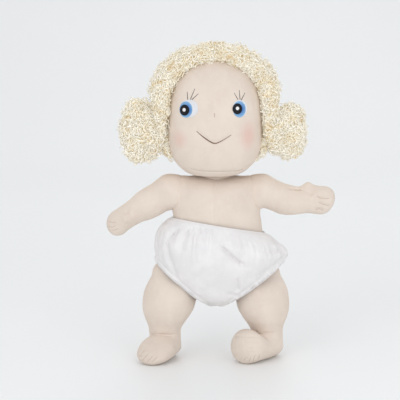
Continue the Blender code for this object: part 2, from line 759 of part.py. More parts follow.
def make_neck(nod, parts):
    """The stuffed neck: a ball in the body's socket and a roll that the head is tied round."""
    turns = [math.pi * step / NECK_BALL_STEPS for step in range(1, NECK_BALL_STEPS + 1)]
    rim = math.pi - math.asin(NECK_RADIUS / NECK_BALL_RADIUS)
    sections = [Section(NECK_PIVOT - UP * NECK_BALL_RADIUS, (0, 0, 0), (0, 0, 0))]
    for turn in [turn for turn in turns if turn < rim] + [rim]:
        radius = NECK_BALL_RADIUS * math.sin(turn)
        centre = NECK_PIVOT - UP * NECK_BALL_RADIUS * math.cos(turn)
        sections.append(Section(centre, (radius, 0, 0), (0, radius, 0)))
    top = NECK_PIVOT + UP * NECK_LENGTH
    sections.append(Section(top, (NECK_RADIUS, 0, 0), (0, NECK_RADIUS, 0)))
    sections.append(Section(top, (0, 0, 0), (0, 0, 0)))
    place_object(mesh_object("neck_roll", soft_form(sections, NECK_SEGMENTS)), nod, WOOL_FILL, parts)
    place = NECK_PIVOT + UP * NECK_TIE_RISE
    reach = NECK_RADIUS + GAP + NECK_TIE_RADIUS
    tie = ring_form(place, UP, reach, NECK_TIE_RADIUS, NECK_SEGMENTS, THREAD_SIDES)
    place_object(mesh_object("neck_tie_string", tie), nod, SEWING_THREAD, parts)


def face_point(sideways, height, lift):
    """The point of the face at a place across and up the head, lifted off the surface."""
    sections = head_sections()
    for upper, lower in zip(sections, sections[1:]):
        if lower.centre.z <= height <= upper.centre.z:
            break
    share = (upper.centre.z - height) / (upper.centre.z - lower.centre.z)
    wide = upper.across.x + (lower.across.x - upper.across.x) * share
    deep = upper.over.y + (lower.over.y - upper.over.y) * share
    off = (sideways - HEAD_SIDEWAYS) / wide
    root = math.sqrt(max(0.0, 1.0 - off * off))
    place = Vector((sideways, upper.centre.y - deep * root, height))
    away = Vector((off / wide, -root / deep, 0)).normalized()
    return place + away * lift


def make_head(turn, root, parts, cutters):
    sections = head_sections()
    skin_form = soft_form(sections, HEAD_SEGMENTS)
    open_pole(skin_form, sections[-1].centre)
    skin = mesh_object("head_skin", skin_form)
    add_thickness(skin, SKIN_THICKNESS)
    place_object(skin, turn, SKIN_JERSEY, parts)
    low_end = Section(sections[-5].centre, (0, 0, 0), (0, 0, 0))
    fill_form = soft_form(sections[:-4] + [low_end], HEAD_SEGMENTS // 2)
    swell(fill_form, -STUFFING_INSET)
    fill = mesh_object("head_stuffing", fill_form)
    low = NECK_PIVOT - UP * CUTTER_OVERRUN
    high = NECK_PIVOT + UP * (NECK_LENGTH + GAP)
    socket = rod_form(low, high, NECK_RADIUS + GAP, NECK_SEGMENTS)
    add_cut(fill, make_cutter("head_socket", socket, root, cutters))
    place_object(fill, turn, WOOL_FILL, parts)


def head_guide(name, lift, root, cutters):
    """The head's outer form, lifted, for pieces that lie on it."""
    form = soft_form(head_sections(), HEAD_SEGMENTS)
    swell(form, lift)
    return make_cutter(name, form, root, cutters)


def eye_prism(centre_x, half_width, half_height, centre_z):
    """An oval rod that runs out through the face."""
    form = bmesh.new()
    bmesh.ops.create_cone(
        form, cap_ends=True, segments=EYE_SEGMENTS, radius1=1.0, radius2=1.0, depth=HEAD_DEPTH / 2
    )
    bmesh.ops.scale(form, verts=form.verts, vec=(half_width, half_height, 1.0))
    bmesh.ops.rotate(form, verts=form.verts, cent=(0, 0, 0), matrix=Matrix.Rotation(math.pi / 2, 3, "X"))
    bmesh.ops.translate(form, verts=form.verts, vec=(centre_x, -HEAD_DEPTH / 2, centre_z))
    return form


def make_eye(side, root, turn, parts, cutters, low_guide, high_guide):
    """White, iris, pupil and glint as flat satin stitches side by side on the face."""
    name = "right" if side == RIGHT else "left"
    if side == RIGHT:
        white_x, iris_x, pupil_x, white_half = RIGHT_EYE_X, RIGHT_IRIS_X, RIGHT_PUPIL_X, RIGHT_EYE_HALF_WIDTH
    else:
        white_x, iris_x, pupil_x, white_half = LEFT_EYE_X, LEFT_IRIS_X, LEFT_PUPIL_X, LEFT_EYE_HALF_WIDTH
    eye_z = HEAD_BASE + HEAD_HEIGHT * EYE_HEIGHT_SHARE
    iris_z = eye_z + EYE_HALF_HEIGHT * IRIS_RAISE_SHARE
    rings = (
        ("white", white_x, white_half, EYE_HALF_HEIGHT, eye_z, WHITE_THREAD),
        ("iris", iris_x, IRIS_RADIUS, IRIS_RADIUS, iris_z, BLUE_THREAD),
        ("pupil", pupil_x, PUPIL_RADIUS, PUPIL_RADIUS, iris_z, BLACK_THREAD),
        ("glint", pupil_x, GLINT_RADIUS, GLINT_RADIUS, iris_z, WHITE_THREAD),
    )
    for index, (layer, x, wide, tall, z, finish) in enumerate(rings):
        piece = mesh_object(f"{name}_eye_{layer}", eye_prism(x, wide, tall, z))
        add_cut(piece, high_guide, "INTERSECT")
        add_cut(piece, low_guide)
        if index + 1 < len(rings):
            inner = rings[index + 1]
            hole = eye_prism(inner[1], inner[2] + GAP, inner[3] + GAP, inner[4])
            add_cut(piece, make_cutter(f"{name}_{inner[0]}_hole", hole, root, cutters))
        place_object(piece, turn, finish, parts)
    for lash, foot_share, tip_share, height_share in LASH_SHARES:
        foot_x = white_x + side * -white_half * foot_share
        tip_x = white_x + side * -white_half * tip_share
        inside = 1 - ((foot_x - white_x) / white_half) ** 2
        foot_z = eye_z + EYE_HALF_HEIGHT * math.sqrt(inside) + THREAD_RADIUS + GAP
        points = []
        for step in range(LASH_POINTS):
            share = step / (LASH_POINTS - 1)
            x = foot_x + (tip_x - foot_x) * share
            z = foot_z + LASH_HEIGHT * height_share * share
            points.append(face_point(x, z, THREAD_RADIUS + GAP))
        place_object(thread(f"{name}_{lash}_lash", points, THREAD_RADIUS), turn, DARK_THREAD, parts)


def make_face_threads(turn, parts):
    """The stitched mouth, nose dot and chin seam."""
    points = []
    for step in range(MOUTH_POINTS):
        share = 2 * step / (MOUTH_POINTS - 1) - 1
        corner = MOUTH_CORNER_SHARES[0] if share < 0 else MOUTH_CORNER_SHARES[1]
        rise = HEAD_HEIGHT * (MOUTH_HEIGHT_SHARE + corner * abs(share) ** MOUTH_CURVE)
        x = MOUTH_SIDEWAYS + MOUTH_HALF_WIDTH * share
        points.append(face_point(x, HEAD_BASE + rise, THREAD_RADIUS + GAP))
    place_object(thread("mouth_stitch", points, THREAD_RADIUS), turn, SEWING_THREAD, parts)
    nose = [
        face_point(x, HEAD_BASE + HEAD_HEIGHT * NOSE_HEIGHT_SHARE, THREAD_RADIUS + GAP)
        for x in (-NOSE_HALF_WIDTH, 0, NOSE_HALF_WIDTH)
    ]
    place_object(thread("nose_stitch", nose, THREAD_RADIUS), turn, SEWING_THREAD, parts)
    chin = []
    for step in range(CHIN_SEAM_POINTS):
        share = 2 * step / (CHIN_SEAM_POINTS - 1) - 1
        height = HEAD_BASE + HEAD_HEIGHT * CHIN_SEAM_HEIGHT_SHARE
        chin.append(face_point(CHIN_SEAM_HALF_WIDTH * share, height, THREAD_RADIUS + GAP))
    place_object(thread("chin_seam_thread", chin, THREAD_RADIUS), turn, SEWING_THREAD, parts)


def make_hair(turn, root, parts, cutters, head_clearance):
    """The wig's thick crown and the curly roll round the face."""
    crown = mesh_object("hair_crown", soft_form(hair_sections(), HAIR_SEGMENTS))
    add_cut(crown, head_clearance)
    far = HEAD_WIDTH + HAIR_SIDE
    top = HEAD_BASE + HEAD_HEIGHT + HAIR_TOP + CUTTER_OVERRUN
    front = box_form((-far, -HEAD_DEPTH, HEAD_BASE - CUTTER_OVERRUN), (far, HAIR_FRONT_Y, top))
    add_cut(crown, make_cutter("hair_front_cut", front, root, cutters))
    hem_z = HEAD_BASE + HEAD_HEIGHT * HAIR_HEM_SHARE
    hem = box_form((-far, -HEAD_DEPTH, HEAD_BASE - CUTTER_OVERRUN), (far, HEAD_DEPTH, hem_z))
    add_cut(crown, make_cutter("hair_hem_cut", hem, root, cutters))
    radius = HAIR_TIE_RING_RADIUS + HAIR_TIE_RADIUS + TIE_CLEARANCE
    gap = rod_form((-far, 0, BUNCH_Z), (far, 0, BUNCH_Z), radius, HAIR_SEGMENTS)
    add_cut(crown, make_cutter("hair_bunch_gap", gap, root, cutters))
    place_object(crown, turn, CURLY_YARN, parts)

    centre_z = HEAD_BASE + HEAD_HEIGHT * FRINGE_CENTRE_SHARE
    centre = Vector((HEAD_SIDEWAYS, HAIR_FRONT_Y - GAP - FRINGE_FORWARD, centre_z))
    sections = []
    for step in range(FRINGE_POINTS):
        share = 2 * step / (FRINGE_POINTS - 1) - 1
        angle = FRINGE_TURN * share
        out = Vector((math.sin(angle), 0, math.cos(angle)))
        end = max(0.0, 1.0 - abs(share) ** 12)
        middle = centre + out * FRINGE_HALF_SPREAD
        sections.append(Section(middle, out * FRINGE_RADIUS * end, Vector((0, FRINGE_RADIUS * end, 0))))
    fringe = mesh_object("hair_fringe", soft_form(sections, FRINGE_SEGMENTS))
    add_cut(fringe, head_clearance)
    place_object(fringe, turn, CURLY_YARN, parts)


def make_bunch(side, turn, swing, parts):
    """A side bunch of curls on its round root, and the tie at the side of the head."""
    name = "right" if side == RIGHT else "left"
    length = RIGHT_BUNCH_LENGTH if side == RIGHT else LEFT_BUNCH_LENGTH
    half_height = RIGHT_BUNCH_HALF_HEIGHT if side == RIGHT else LEFT_BUNCH_HALF_HEIGHT
    out = Vector((side, 0, 0))
    root = bunch_pivot(side)
    sections = [Section(root - out * BUNCH_BALL_RADIUS, (0, 0, 0), (0, 0, 0))]
    for step in range(1, BUNCH_BALL_STEPS + 1):
        angle = math.pi / 2 * step / BUNCH_BALL_STEPS
        radius = BUNCH_BALL_RADIUS * math.sin(angle)
        centre = root - out * BUNCH_BALL_RADIUS * math.cos(angle)
        sections.append(Section(centre, UP * radius, (0, radius, 0)))
    for share, high, deep in BUNCH_SHARES:
        tall = UP * half_height * high
        sections.append(Section(root + out * length * share, tall, (0, BUNCH_HALF_DEPTH * deep, 0)))
    bunch = mesh_object(f"{name}_hair_bunch", soft_form(sections, BUNCH_SEGMENTS))
    place_object(bunch, swing, CURLY_YARN, parts)
    place = Vector((root.x - side * (BUNCH_BALL_RADIUS - HAIR_TIE_RADIUS), root.y, root.z))
    tie = ring_form(
        place, SIDEWAYS, HAIR_TIE_RING_RADIUS, HAIR_TIE_RADIUS, HAIR_TIE_SEGMENTS, THREAD_SIDES
    )
    place_object(mesh_object(f"{name}_hair_tie", tie), turn, WHITE_THREAD, parts)


def thumb_push(side, place):
    """How far a place on the arm swells out for the thumb, upward on the left and forward on the right."""
    tilt = RIGHT_ARM_TILT if side == RIGHT else LEFT_ARM_TILT
    along = Vector((side * math.cos(tilt), 0, -math.sin(tilt)))
    up = Vector((side * math.sin(tilt), 0, math.cos(tilt)))
    out = FORWARD * ARM_HALF_DEPTH if side == RIGHT else up * ARM_HALF_HEIGHT
    centre = shoulder_pivot(side) + along * ARM_LENGTH * THUMB_ALONG_SHARE + out
    away = (place - centre).length / THUMB_REACH
    return out.normalized() * THUMB_PUSH * math.exp(-away * away)


def arm_form(side, segments):
    form = soft_form(arm_sections(side), segments)
    for vertex in form.verts:
        vertex.co += thumb_push(side, vertex.co)
    return form


def make_arm(side, sweep, lift, parts):
    name = "right" if side == RIGHT else "left"
    sections = arm_sections(side)
    form = arm_form(side, ARM_SEGMENTS)
    open_pole(form, sections[0].centre)
    skin = mesh_object(f"{name}_arm_skin", form)
    add_thickness(skin, SKIN_THICKNESS)
    place_object(skin, lift, SKIN_JERSEY, parts)
    fill_form = arm_form(side, ARM_SEGMENTS // 2)
    swell(fill_form, -STUFFING_INSET)
    place_object(mesh_object(f"{name}_arm_stuffing", fill_form), lift, WOOL_FILL, parts)
    reach = SHOULDER_BALL_RADIUS + SHOULDER_SEAM_LIFT + SEAM_THREAD_RADIUS
    centre = shoulder_pivot(side) - SIDEWAYS * side * reach * math.cos(SHOULDER_SEAM_TURN)
    seam_radius = reach * math.sin(SHOULDER_SEAM_TURN)
    ring = ring_form(
        centre, SIDEWAYS, seam_radius, SEAM_THREAD_RADIUS, SHOULDER_SEAM_SEGMENTS, SHOULDER_SEAM_SIDES
    )
    place_object(mesh_object(f"{name}_shoulder_seam", ring), sweep, SEWING_THREAD, parts)
    last = len(sections) - 1
    for finger, height in FINGER_STITCH_SHARES:
        points = along_sections(
            sections, math.acos(height), last - FINGER_STITCH_ROWS[0], last - FINGER_STITCH_ROWS[1],
            FINGER_STITCH_POINTS, THREAD_RADIUS + GAP,
        )
        points = [point + thumb_push(side, point) for point in points]
        stitch = thread(f"{name}_{finger}_finger_stitch", points, THREAD_RADIUS)
        place_object(stitch, lift, SEWING_THREAD, parts)


def make_leg(side, swing, root, parts, floor_cut):
    name = "right" if side == RIGHT else "left"
    sections = leg_sections(side)
    form = soft_form(sections, LEG_SEGMENTS)
    open_pole(form, sections[0].centre)
    skin = mesh_object(f"{name}_leg_skin", form)
    add_thickness(skin, SKIN_THICKNESS)
    add_cut(skin, floor_cut)
    place_object(skin, swing, SKIN_JERSEY, parts)
    start = Section(sections[2].centre, (0, 0, 0), (0, 0, 0))
    fill_form = soft_form([start] + sections[3:], LEG_SEGMENTS // 2)
    swell(fill_form, -STUFFING_INSET)
    place_object(mesh_object(f"{name}_leg_stuffing", fill_form), swing, WOOL_FILL, parts)
    middle = hip_pivot(side)
    reach = SIDEWAYS * HIP_SEAM_HALF_LENGTH
    seam = rod_form(middle - reach, middle + reach, HIP_SEAM_RADIUS, HIP_SEAM_SEGMENTS)
    place_object(mesh_object(f"{name}_hip_seam", seam), root, SEWING_THREAD, parts)
    last = len(sections) - 1
    for toe, across in TOE_STITCH_SHARES:
        points = along_sections(
            sections, -math.acos(across), last - TOE_STITCH_ROWS[0], last - TOE_STITCH_ROWS[1],
            TOE_STITCH_POINTS, THREAD_RADIUS + GAP,
        )
        place_object(thread(f"{name}_{toe}_toe_stitch", points, THREAD_RADIUS), swing, SEWING_THREAD, parts)


def stand_on_origin(root, parts):
    """Shift the doll sideways and in depth so that its box stands over the origin."""
    depsgraph = bpy.context.evaluated_depsgraph_get()
    points = []
    for thing in parts.objects:
        if thing.type != "EMPTY":
            seen = thing.evaluated_get(depsgraph)
            points += [seen.matrix_world @ vertex.co for vertex in seen.to_mesh().vertices]
            seen.to_mesh_clear()
    for axis in (0, 1):
        places = [point[axis] for point in points]
        root.location[axis] = -(min(places) + max(places)) / 2


def main():
    clear_scene()
    parts = make_collection("cloth_doll")
    cutters = make_collection("cutters")
    root = make_empty("doll", (0, 0, 0), None, parts)
    nod = make_empty("neck_nod_axis", NECK_PIVOT, root, parts)
    turn = make_empty("head_turn_axis", NECK_PIVOT, nod, parts)
    low_guide = head_guide("face_surface", EYE_LIFT, root, cutters)
    high_guide = head_guide("stitch_surface", EYE_LIFT + EYE_THICKNESS, root, cutters)
    make_body(root, parts, cutters)
    make_neck(nod, parts)
    make_head(turn, root, parts, cutters)
    make_face_threads(turn, parts)
    make_hair(turn, root, parts, cutters, low_guide)
    far = BODY_WIDTH + LEG_WIDTH
    floor_form = box_form((-far, -far, -CUTTER_OVERRUN), (far, far, 0))
    floor_cut = make_cutter("floor_cut", floor_form, root, cutters)
    for side, name in ((RIGHT, "right"), (LEFT, "left")):
        make_eye(side, root, turn, parts, cutters, low_guide, high_guide)
        bunch_swing = make_empty(f"{name}_bunch_axis", bunch_pivot(side), turn, parts)
        make_bunch(side, turn, bunch_swing, parts)
        sweep = make_empty(f"{name}_shoulder_sweep_axis", shoulder_pivot(side), root, parts)
        lift = make_empty(f"{name}_arm_lift_axis", shoulder_pivot(side), sweep, parts)
        make_arm(side, sweep, lift, parts)
        swing = make_empty(f"{name}_hip_axis", hip_pivot(side), root, parts)
        make_leg(side, swing, root, parts, floor_cut)
        make_elastic(f"{name}_leg_elastic", lambda drop: leg_plane(side, drop), root, parts)
    make_briefs(root, parts)
    make_elastic("waist_elastic", waist_plane, root, parts)
    stand_on_origin(root, parts)


main()
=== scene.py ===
"""The looks of a cuddly cloth doll: jersey skin, embroidered face, curly yarn hair and cotton briefs.

Every form is made in the doll's own frame, with its middle over x = 0, y = 0 and its front at -Y,
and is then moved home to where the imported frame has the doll.
"""
import json
import math
import random

import bmesh
import bpy
import numpy as np
from mathutils import Matrix, Vector, noise
from mathutils.bvhtree import BVHTree


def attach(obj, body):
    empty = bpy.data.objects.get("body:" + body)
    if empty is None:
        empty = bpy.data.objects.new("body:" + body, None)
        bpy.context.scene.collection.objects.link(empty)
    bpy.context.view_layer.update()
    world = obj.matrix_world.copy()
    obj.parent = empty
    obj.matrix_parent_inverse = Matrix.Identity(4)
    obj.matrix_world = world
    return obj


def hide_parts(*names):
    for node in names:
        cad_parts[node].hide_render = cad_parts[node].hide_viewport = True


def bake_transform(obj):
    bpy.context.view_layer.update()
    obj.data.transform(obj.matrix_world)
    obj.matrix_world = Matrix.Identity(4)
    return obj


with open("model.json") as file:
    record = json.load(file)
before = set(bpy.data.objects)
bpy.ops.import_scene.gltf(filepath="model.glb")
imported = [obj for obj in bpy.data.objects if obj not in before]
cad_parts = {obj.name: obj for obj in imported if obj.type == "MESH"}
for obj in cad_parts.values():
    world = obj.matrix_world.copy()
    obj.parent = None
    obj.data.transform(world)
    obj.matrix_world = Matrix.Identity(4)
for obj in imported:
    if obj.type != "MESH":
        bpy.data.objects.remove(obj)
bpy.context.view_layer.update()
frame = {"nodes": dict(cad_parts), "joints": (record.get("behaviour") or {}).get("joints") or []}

RIGHT, LEFT = -1, 1
SIDES = ((RIGHT, "right"), (LEFT, "left"))
UP = Vector((0, 0, 1))
FORWARD = Vector((0, -1, 0))
SIDEWAYS = Vector((1, 0, 0))
JOINTS = {joint["name"]: Vector(joint["pos_m"]) for joint in frame["joints"]}
HOME = (JOINTS["right_hip_swing"] + JOINTS["left_hip_swing"]) / 2
HOME.z = 0.0

# The photograph's camera
PHOTO_PIXELS = 400
PIXEL = 0.001
EYE_DISTANCE = 1.8
EYE_ELEVATION = math.radians(10)
PHOTO_MIDDLE = Vector((-0.016, 0.0, 0.1609))

# Places that come from the solids
HIP_HEIGHT = 0.0900
BODY_HEIGHT = 0.0970
BODY_WIDTH = 0.1020
BODY_DEPTH = 0.0660
SHOULDER_TOP = HIP_HEIGHT + BODY_HEIGHT
HEAD_BASE = SHOULDER_TOP + 0.0005
HEAD_HEIGHT = 0.1205
HEAD_WIDTH = 0.0930
HEAD_DEPTH = 0.0900
HEAD_SIDEWAYS = -0.0012
HEAD_FORWARD = 0.0030


# Shader building

class Shade:
    """A shader value; sums and products on it add their own Math nodes."""

    def __init__(self, finish, socket):
        self.finish = finish
        self.socket = socket

    def math(self, operation, *others, first=None):
        values = (self if first is None else first, *others)
        return self.finish.node("ShaderNodeMath", {"operation": operation}, dict(enumerate(values)))

    def __add__(self, other):
        return self.math("ADD", other)

    def __sub__(self, other):
        return self.math("SUBTRACT", other)

    def __rsub__(self, other):
        return self.math("SUBTRACT", self, first=other)

    def __mul__(self, other):
        return self.math("MULTIPLY", other)

    def __truediv__(self, other):
        return self.math("DIVIDE", other)

    def __pow__(self, other):
        return self.math("POWER", other)

    __radd__ = __add__
    __rmul__ = __mul__

    def sine(self):
        return self.math("SINE")

    def size(self):
        return self.math("ABSOLUTE")

    def saw(self):
        return self.math("FRACT")

    def split(self):
        """Its parts along x, y and z."""
        node = self.finish.node("ShaderNodeSeparateXYZ", {}, {0: self}).socket.node
        return [Shade(self.finish, part) for part in node.outputs]

    def smooth(self, low, high):
        """0 below low, 1 above high, with a soft step between."""
        settings = {"interpolation_type": "SMOOTHSTEP"}
        inputs = {"Value": self, "From Min": low, "From Max": high, "To Min": 0.0, "To Max": 1.0}
        return self.finish.node("ShaderNodeMapRange", settings, inputs)


class Finish:
    """One material, with its Principled shader's plain numbers set on the shader itself."""

    def __init__(self, name, **plain):
        self.material = bpy.data.materials.new(name)
        self.material.use_nodes = True
        self.tree = self.material.node_tree
        self.shader = self.tree.nodes["Principled BSDF"]
        for key, value in plain.items():
            self.shader.inputs[key.replace("_", " ")].default_value = value

    def join(self, value, socket):
        if isinstance(value, Shade):
            self.tree.links.new(value.socket, socket)
        else:
            socket.default_value = value

    def node(self, kind, settings, inputs, output=0):
        made = self.tree.nodes.new(kind)
        for name, value in settings.items():
            setattr(made, name, value)
        for key, value in inputs.items():
            self.join(value, made.inputs[key])
        return Shade(self, made.outputs[output])

    def vector(self, operation, *values, output=0):
        return self.node("ShaderNodeVectorMath", {"operation": operation}, dict(enumerate(values)), output)

    def place(self):
        return self.node("ShaderNodeTexCoord", {}, {}, "Object")

    def cloth_map(self):
        return self.node("ShaderNodeTexCoord", {}, {}, "UV")

    def noise(self, scale, detail=3.0, rough=0.55, stretch=None):
        """Soft noise from 0 to 1; scale is in blobs to the metre."""
        at = self.place()
        if stretch:
            at = self.vector("MULTIPLY", at, stretch)
        inputs = {"Vector": at, "Scale": scale, "Detail": detail, "Roughness": rough}
        return self.node("ShaderNodeTexNoise", {"noise_dimensions": "3D"}, inputs)

    def mix(self, share, low, high):
        """A colour between two colours."""
        low, high = ((*end, 1.0) if isinstance(end, tuple) else end for end in (low, high))
        settings = {"data_type": "RGBA", "clamp_factor": True}
        return self.node("ShaderNodeMix", settings, {0: share, 6: low, 7: high}, 2)

    def near(self, centre, reach):
        """1 at a place, falling softly to 0 at its reach; the reach is a size along each axis."""
        away = self.vector("DIVIDE", self.vector("SUBTRACT", self.place(), centre), reach)
        return 1 - self.vector("LENGTH", away, output=1).smooth(0.0, 1.0)

    def colour(self, value):
        self.join(value, self.shader.inputs["Base Color"])

    def roughness(self, value):
        self.join(value, self.shader.inputs["Roughness"])

    def glow(self, value):
        self.join(value, self.shader.inputs["Emission Color"])

    def bump(self, height, distance, strength=1.0):
        inputs = {"Height": height, "Distance": distance, "Strength": strength}
        self.join(self.node("ShaderNodeBump", {}, inputs), self.shader.inputs["Normal"])


def srgb(red, green, blue):
    """A colour as a picture editor gives it, made linear."""
    def linear(value):
        value /= 255
        return value / 12.92 if value <= 0.04045 else ((value + 0.055) / 1.055) ** 2.4
    return linear(red), linear(green), linear(blue)


SKIN = srgb(231, 218, 206)
SKIN_DEEP = srgb(216, 200, 187)
SKIN_PALE = srgb(237, 226, 215)
BLUSH = srgb(226, 180, 170)
# Yarn colours: the deep ochre is painted shade deep in the pile (it also tints fibre specks at random), the pale
# one is a painted highlight at the curl tips, and the glow colours make a painted glow for light scattered
# through the pile.
YARN_LIT_PALE = srgb(255, 251, 240)
YARN_MID = srgb(250, 242, 219)
YARN_OCHRE_SHADE = srgb(234, 215, 177)
GLOW_PALE = srgb(255, 246, 228)
GLOW_DEEP = srgb(245, 220, 180)


def knit(finish, wales, courses):
    """Stocking stitch: columns of small V shapes, from 0 in the gaps to 1 on the loops."""
    across, along, _ = finish.cloth_map().split()
    side = ((across * wales).saw() - 0.5).size() * 2
    leg = ((along * courses + side * 0.55).saw() - 0.5).size() * 2
    return (1 - side ** 3.0) * (0.45 + 0.55 * (1 - leg * leg))


def jersey(name, wales, courses, blush=()):
    """Brushed cotton jersey, a little mottled, with a fine knit."""
    finish = Finish(
        name, Roughness=0.92, Sheen_Weight=0.22, Sheen_Roughness=0.45, Specular_IOR_Level=0.2,
    )
    finish.shader.inputs["Sheen Tint"].default_value = (*SKIN_PALE, 1.0)
    stitches = knit(finish, wales, courses)
    patches = finish.noise(38.0, detail=2.0)
    mottle = finish.noise(260.0, detail=4.0, rough=0.6)
    fuzz = finish.noise(1500.0, detail=3.0, rough=0.65)
    colour = finish.mix(0.55 + 0.45 * patches.smooth(0.30, 0.72), SKIN_DEEP, SKIN)
    colour = finish.mix(mottle.smooth(0.42, 0.78) * 0.30, colour, SKIN_PALE)
    # Painted shade in the gaps between the knit loops, with random fuzz specks.
    colour = finish.mix((1 - stitches) * 0.30 + fuzz.smooth(0.55, 0.85) * 0.16, colour, SKIN_DEEP)
    for centre, reach, strength in blush:
        colour = finish.mix(finish.near(centre, reach) * strength, colour, BLUSH)
    finish.colour(colour)
    finish.roughness(0.86 + fuzz * 0.12)
    finish.bump(stitches * 0.6 + fuzz * 0.5 + mottle * 0.4, 0.00028, 0.5)
    return finish.material


def cotton(name):
    """Fine white rib cotton."""
    finish = Finish(
        name, Roughness=0.85, Sheen_Weight=0.12, Sheen_Roughness=0.4, Specular_IOR_Level=0.25,
    )
    stitches = knit(finish, 420.0, 210.0)
    soft = finish.noise(60.0, detail=3.0)
    fuzz = finish.noise(1700.0, detail=3.0)
    colour = finish.mix(soft.smooth(0.3, 0.75), srgb(230, 228, 228), srgb(239, 237, 236))
    # Painted shade in the gaps between the knit loops.
    colour = finish.mix((1 - stitches) * 0.22, colour, srgb(222, 220, 222))
    finish.colour(colour)
    finish.roughness(0.80 + fuzz * 0.15)
    finish.bump(stitches * 0.6 + fuzz * 0.4, 0.00025, 0.5)
    return finish.material


def yarn(name):
    """Shiny cream curls with painted light: painted shade in ochre deep in the pile near the scalp, a painted
    highlight at the tips, and a painted glow for light in the pile.
    """
    # The emission is a painted glow standing in for light scattered through the pile, not a lamp.
    finish = Finish(name, Roughness=0.55, Emission_Strength=0.11, Specular_IOR_Level=0.4)
    shade_and_tone = finish.node("ShaderNodeAttribute", {"attribute_name": "shade_and_tone"}, {}, "Fac")
    fibre = finish.noise(1400.0, detail=3.0, rough=0.6)
    locks = finish.noise(70.0, detail=2.0)
    # Low values are painted shade in the pile and high ones a painted highlight at the tips, with random tone of
    # the locks mixed in.
    colour = finish.mix(shade_and_tone.smooth(0.0, 0.55), YARN_OCHRE_SHADE, YARN_MID)
    colour = finish.mix(shade_and_tone.smooth(0.35, 1.0), colour, YARN_LIT_PALE)
    colour = finish.mix(locks.smooth(0.50, 0.80) * 0.35, colour, YARN_MID)
    colour = finish.mix(fibre.smooth(0.55, 0.85) * 0.18, colour, YARN_OCHRE_SHADE)
    finish.colour(colour)
    finish.roughness(0.50 + fibre * 0.25)
    # The painted glow follows the painted shade: deeper in the pile, paler at the tips.
    finish.glow(finish.mix(shade_and_tone.smooth(0.0, 0.7), GLOW_DEEP, GLOW_PALE))
    finish.bump(fibre, 0.0003, 0.6)
    return finish.material


def plied(name, colour, deep, rough=0.7):
    """Twisted sewing thread."""
    finish = Finish(name, Roughness=rough, Specular_IOR_Level=0.3)
    twist = finish.noise(2600.0, detail=2.0, stretch=(1.0, 1.0, 0.35))
    finish.colour(finish.mix(twist.smooth(0.35, 0.7), deep, colour))
    finish.bump(twist, 0.0002, 0.6)
    return finish.material


def satin(name, inner, outer, centre, reach, rays):
    """Satin stitch: thread laid side by side, here running out from the middle of the eye."""
    finish = Finish(name, Roughness=0.55, Specular_IOR_Level=0.25)
    sideways, _, upward = finish.vector("SUBTRACT", finish.place(), centre).split()
    turn = upward.math("ARCTAN2", sideways)
    ridge = (turn * rays).sine() * 0.5 + 0.5
    share = (sideways * sideways + upward * upward).math("SQRT") / reach
    wobble = finish.noise(900.0, detail=2.0)
    colour = finish.mix((share + wobble * 0.2).smooth(0.35, 1.15), inner, outer)
    # Painted shade in the grooves between the rays of laid thread.
    colour = finish.mix((1 - ridge) * 0.25, colour, tuple(0.55 * part for part in inner))
    finish.colour(colour)
    finish.bump(ridge * 0.7 + wobble * 0.3, 0.0003, 0.6)
    return finish.material


def wool(name):
    """Carded wool stuffing."""
    finish = Finish(name, Roughness=1.0, Sheen_Weight=0.3)
    tuft = finish.noise(220.0, detail=5.0, rough=0.7)
    finish.colour(finish.mix(tuft.smooth(0.3, 0.8), srgb(215, 208, 196), srgb(240, 236, 228)))
    finish.bump(tuft, 0.0010, 0.7)
    return finish.material


# Forms

GRID_RIM = 0.99999
TOUCH = 1e-7
NO_SIZE = (0, 0, 0)
# size and depth of the lumps of each stuffed form or curly base, and a seed
LUMPS = {
    "head": (0.030, 0.0006, 3.0),
    "body": (0.028, 0.0007, 11.0),
    "arm": (0.020, 0.0006, 20.0),
    "leg": (0.026, 0.0007, 40.0),
    "crown": (0.0085, 0.0030, 8.0),
    "fringe": (0.0075, 0.0022, 2.0),
    "bunch": (0.0085, 0.0040, 5.0),
}


class Ring:
    """One ring of a soft form: an ellipse with a centre and two half axes."""

    def __init__(self, centre, across, over):
        self.centre = Vector(centre)
        self.across = Vector(across)
        self.over = Vector(over)

    def point(self, turn):
        return self.centre + self.across * math.cos(turn) + self.over * math.sin(turn)


def level_ring(centre, half_width, half_depth):
    return Ring(centre, (half_width, 0, 0), (0, half_depth, 0))


def curved(before, start, end, after, share):
    """A point on the smooth curve from start to end."""
    return 0.5 * (
        2 * start + (end - before) * share
        + (2 * before - 5 * start + 4 * end - after) * share ** 2
        + (3 * start - before - 3 * end + after) * share ** 3
    )


def beyond(pole, inner):
    """The ring on the far side of a pole, so that the form is round there."""
    return Ring(inner.centre, -inner.across, -inner.over) if pole.across.length < 1e-6 else pole


def ring_at(rings, place):
    """The ring at a place along the control rings, on a smooth curve through them."""
    row = min(int(place), len(rings) - 2)
    start, end = rings[row], rings[row + 1]
    before = rings[row - 1] if row else beyond(start, end)
    after = rings[row + 2] if row + 2 < len(rings) else beyond(end, start)
    return Ring(*(
        curved(*(getattr(ring, part) for ring in (before, start, end, after)), place - row)
        for part in ("centre", "across", "over")
    ))


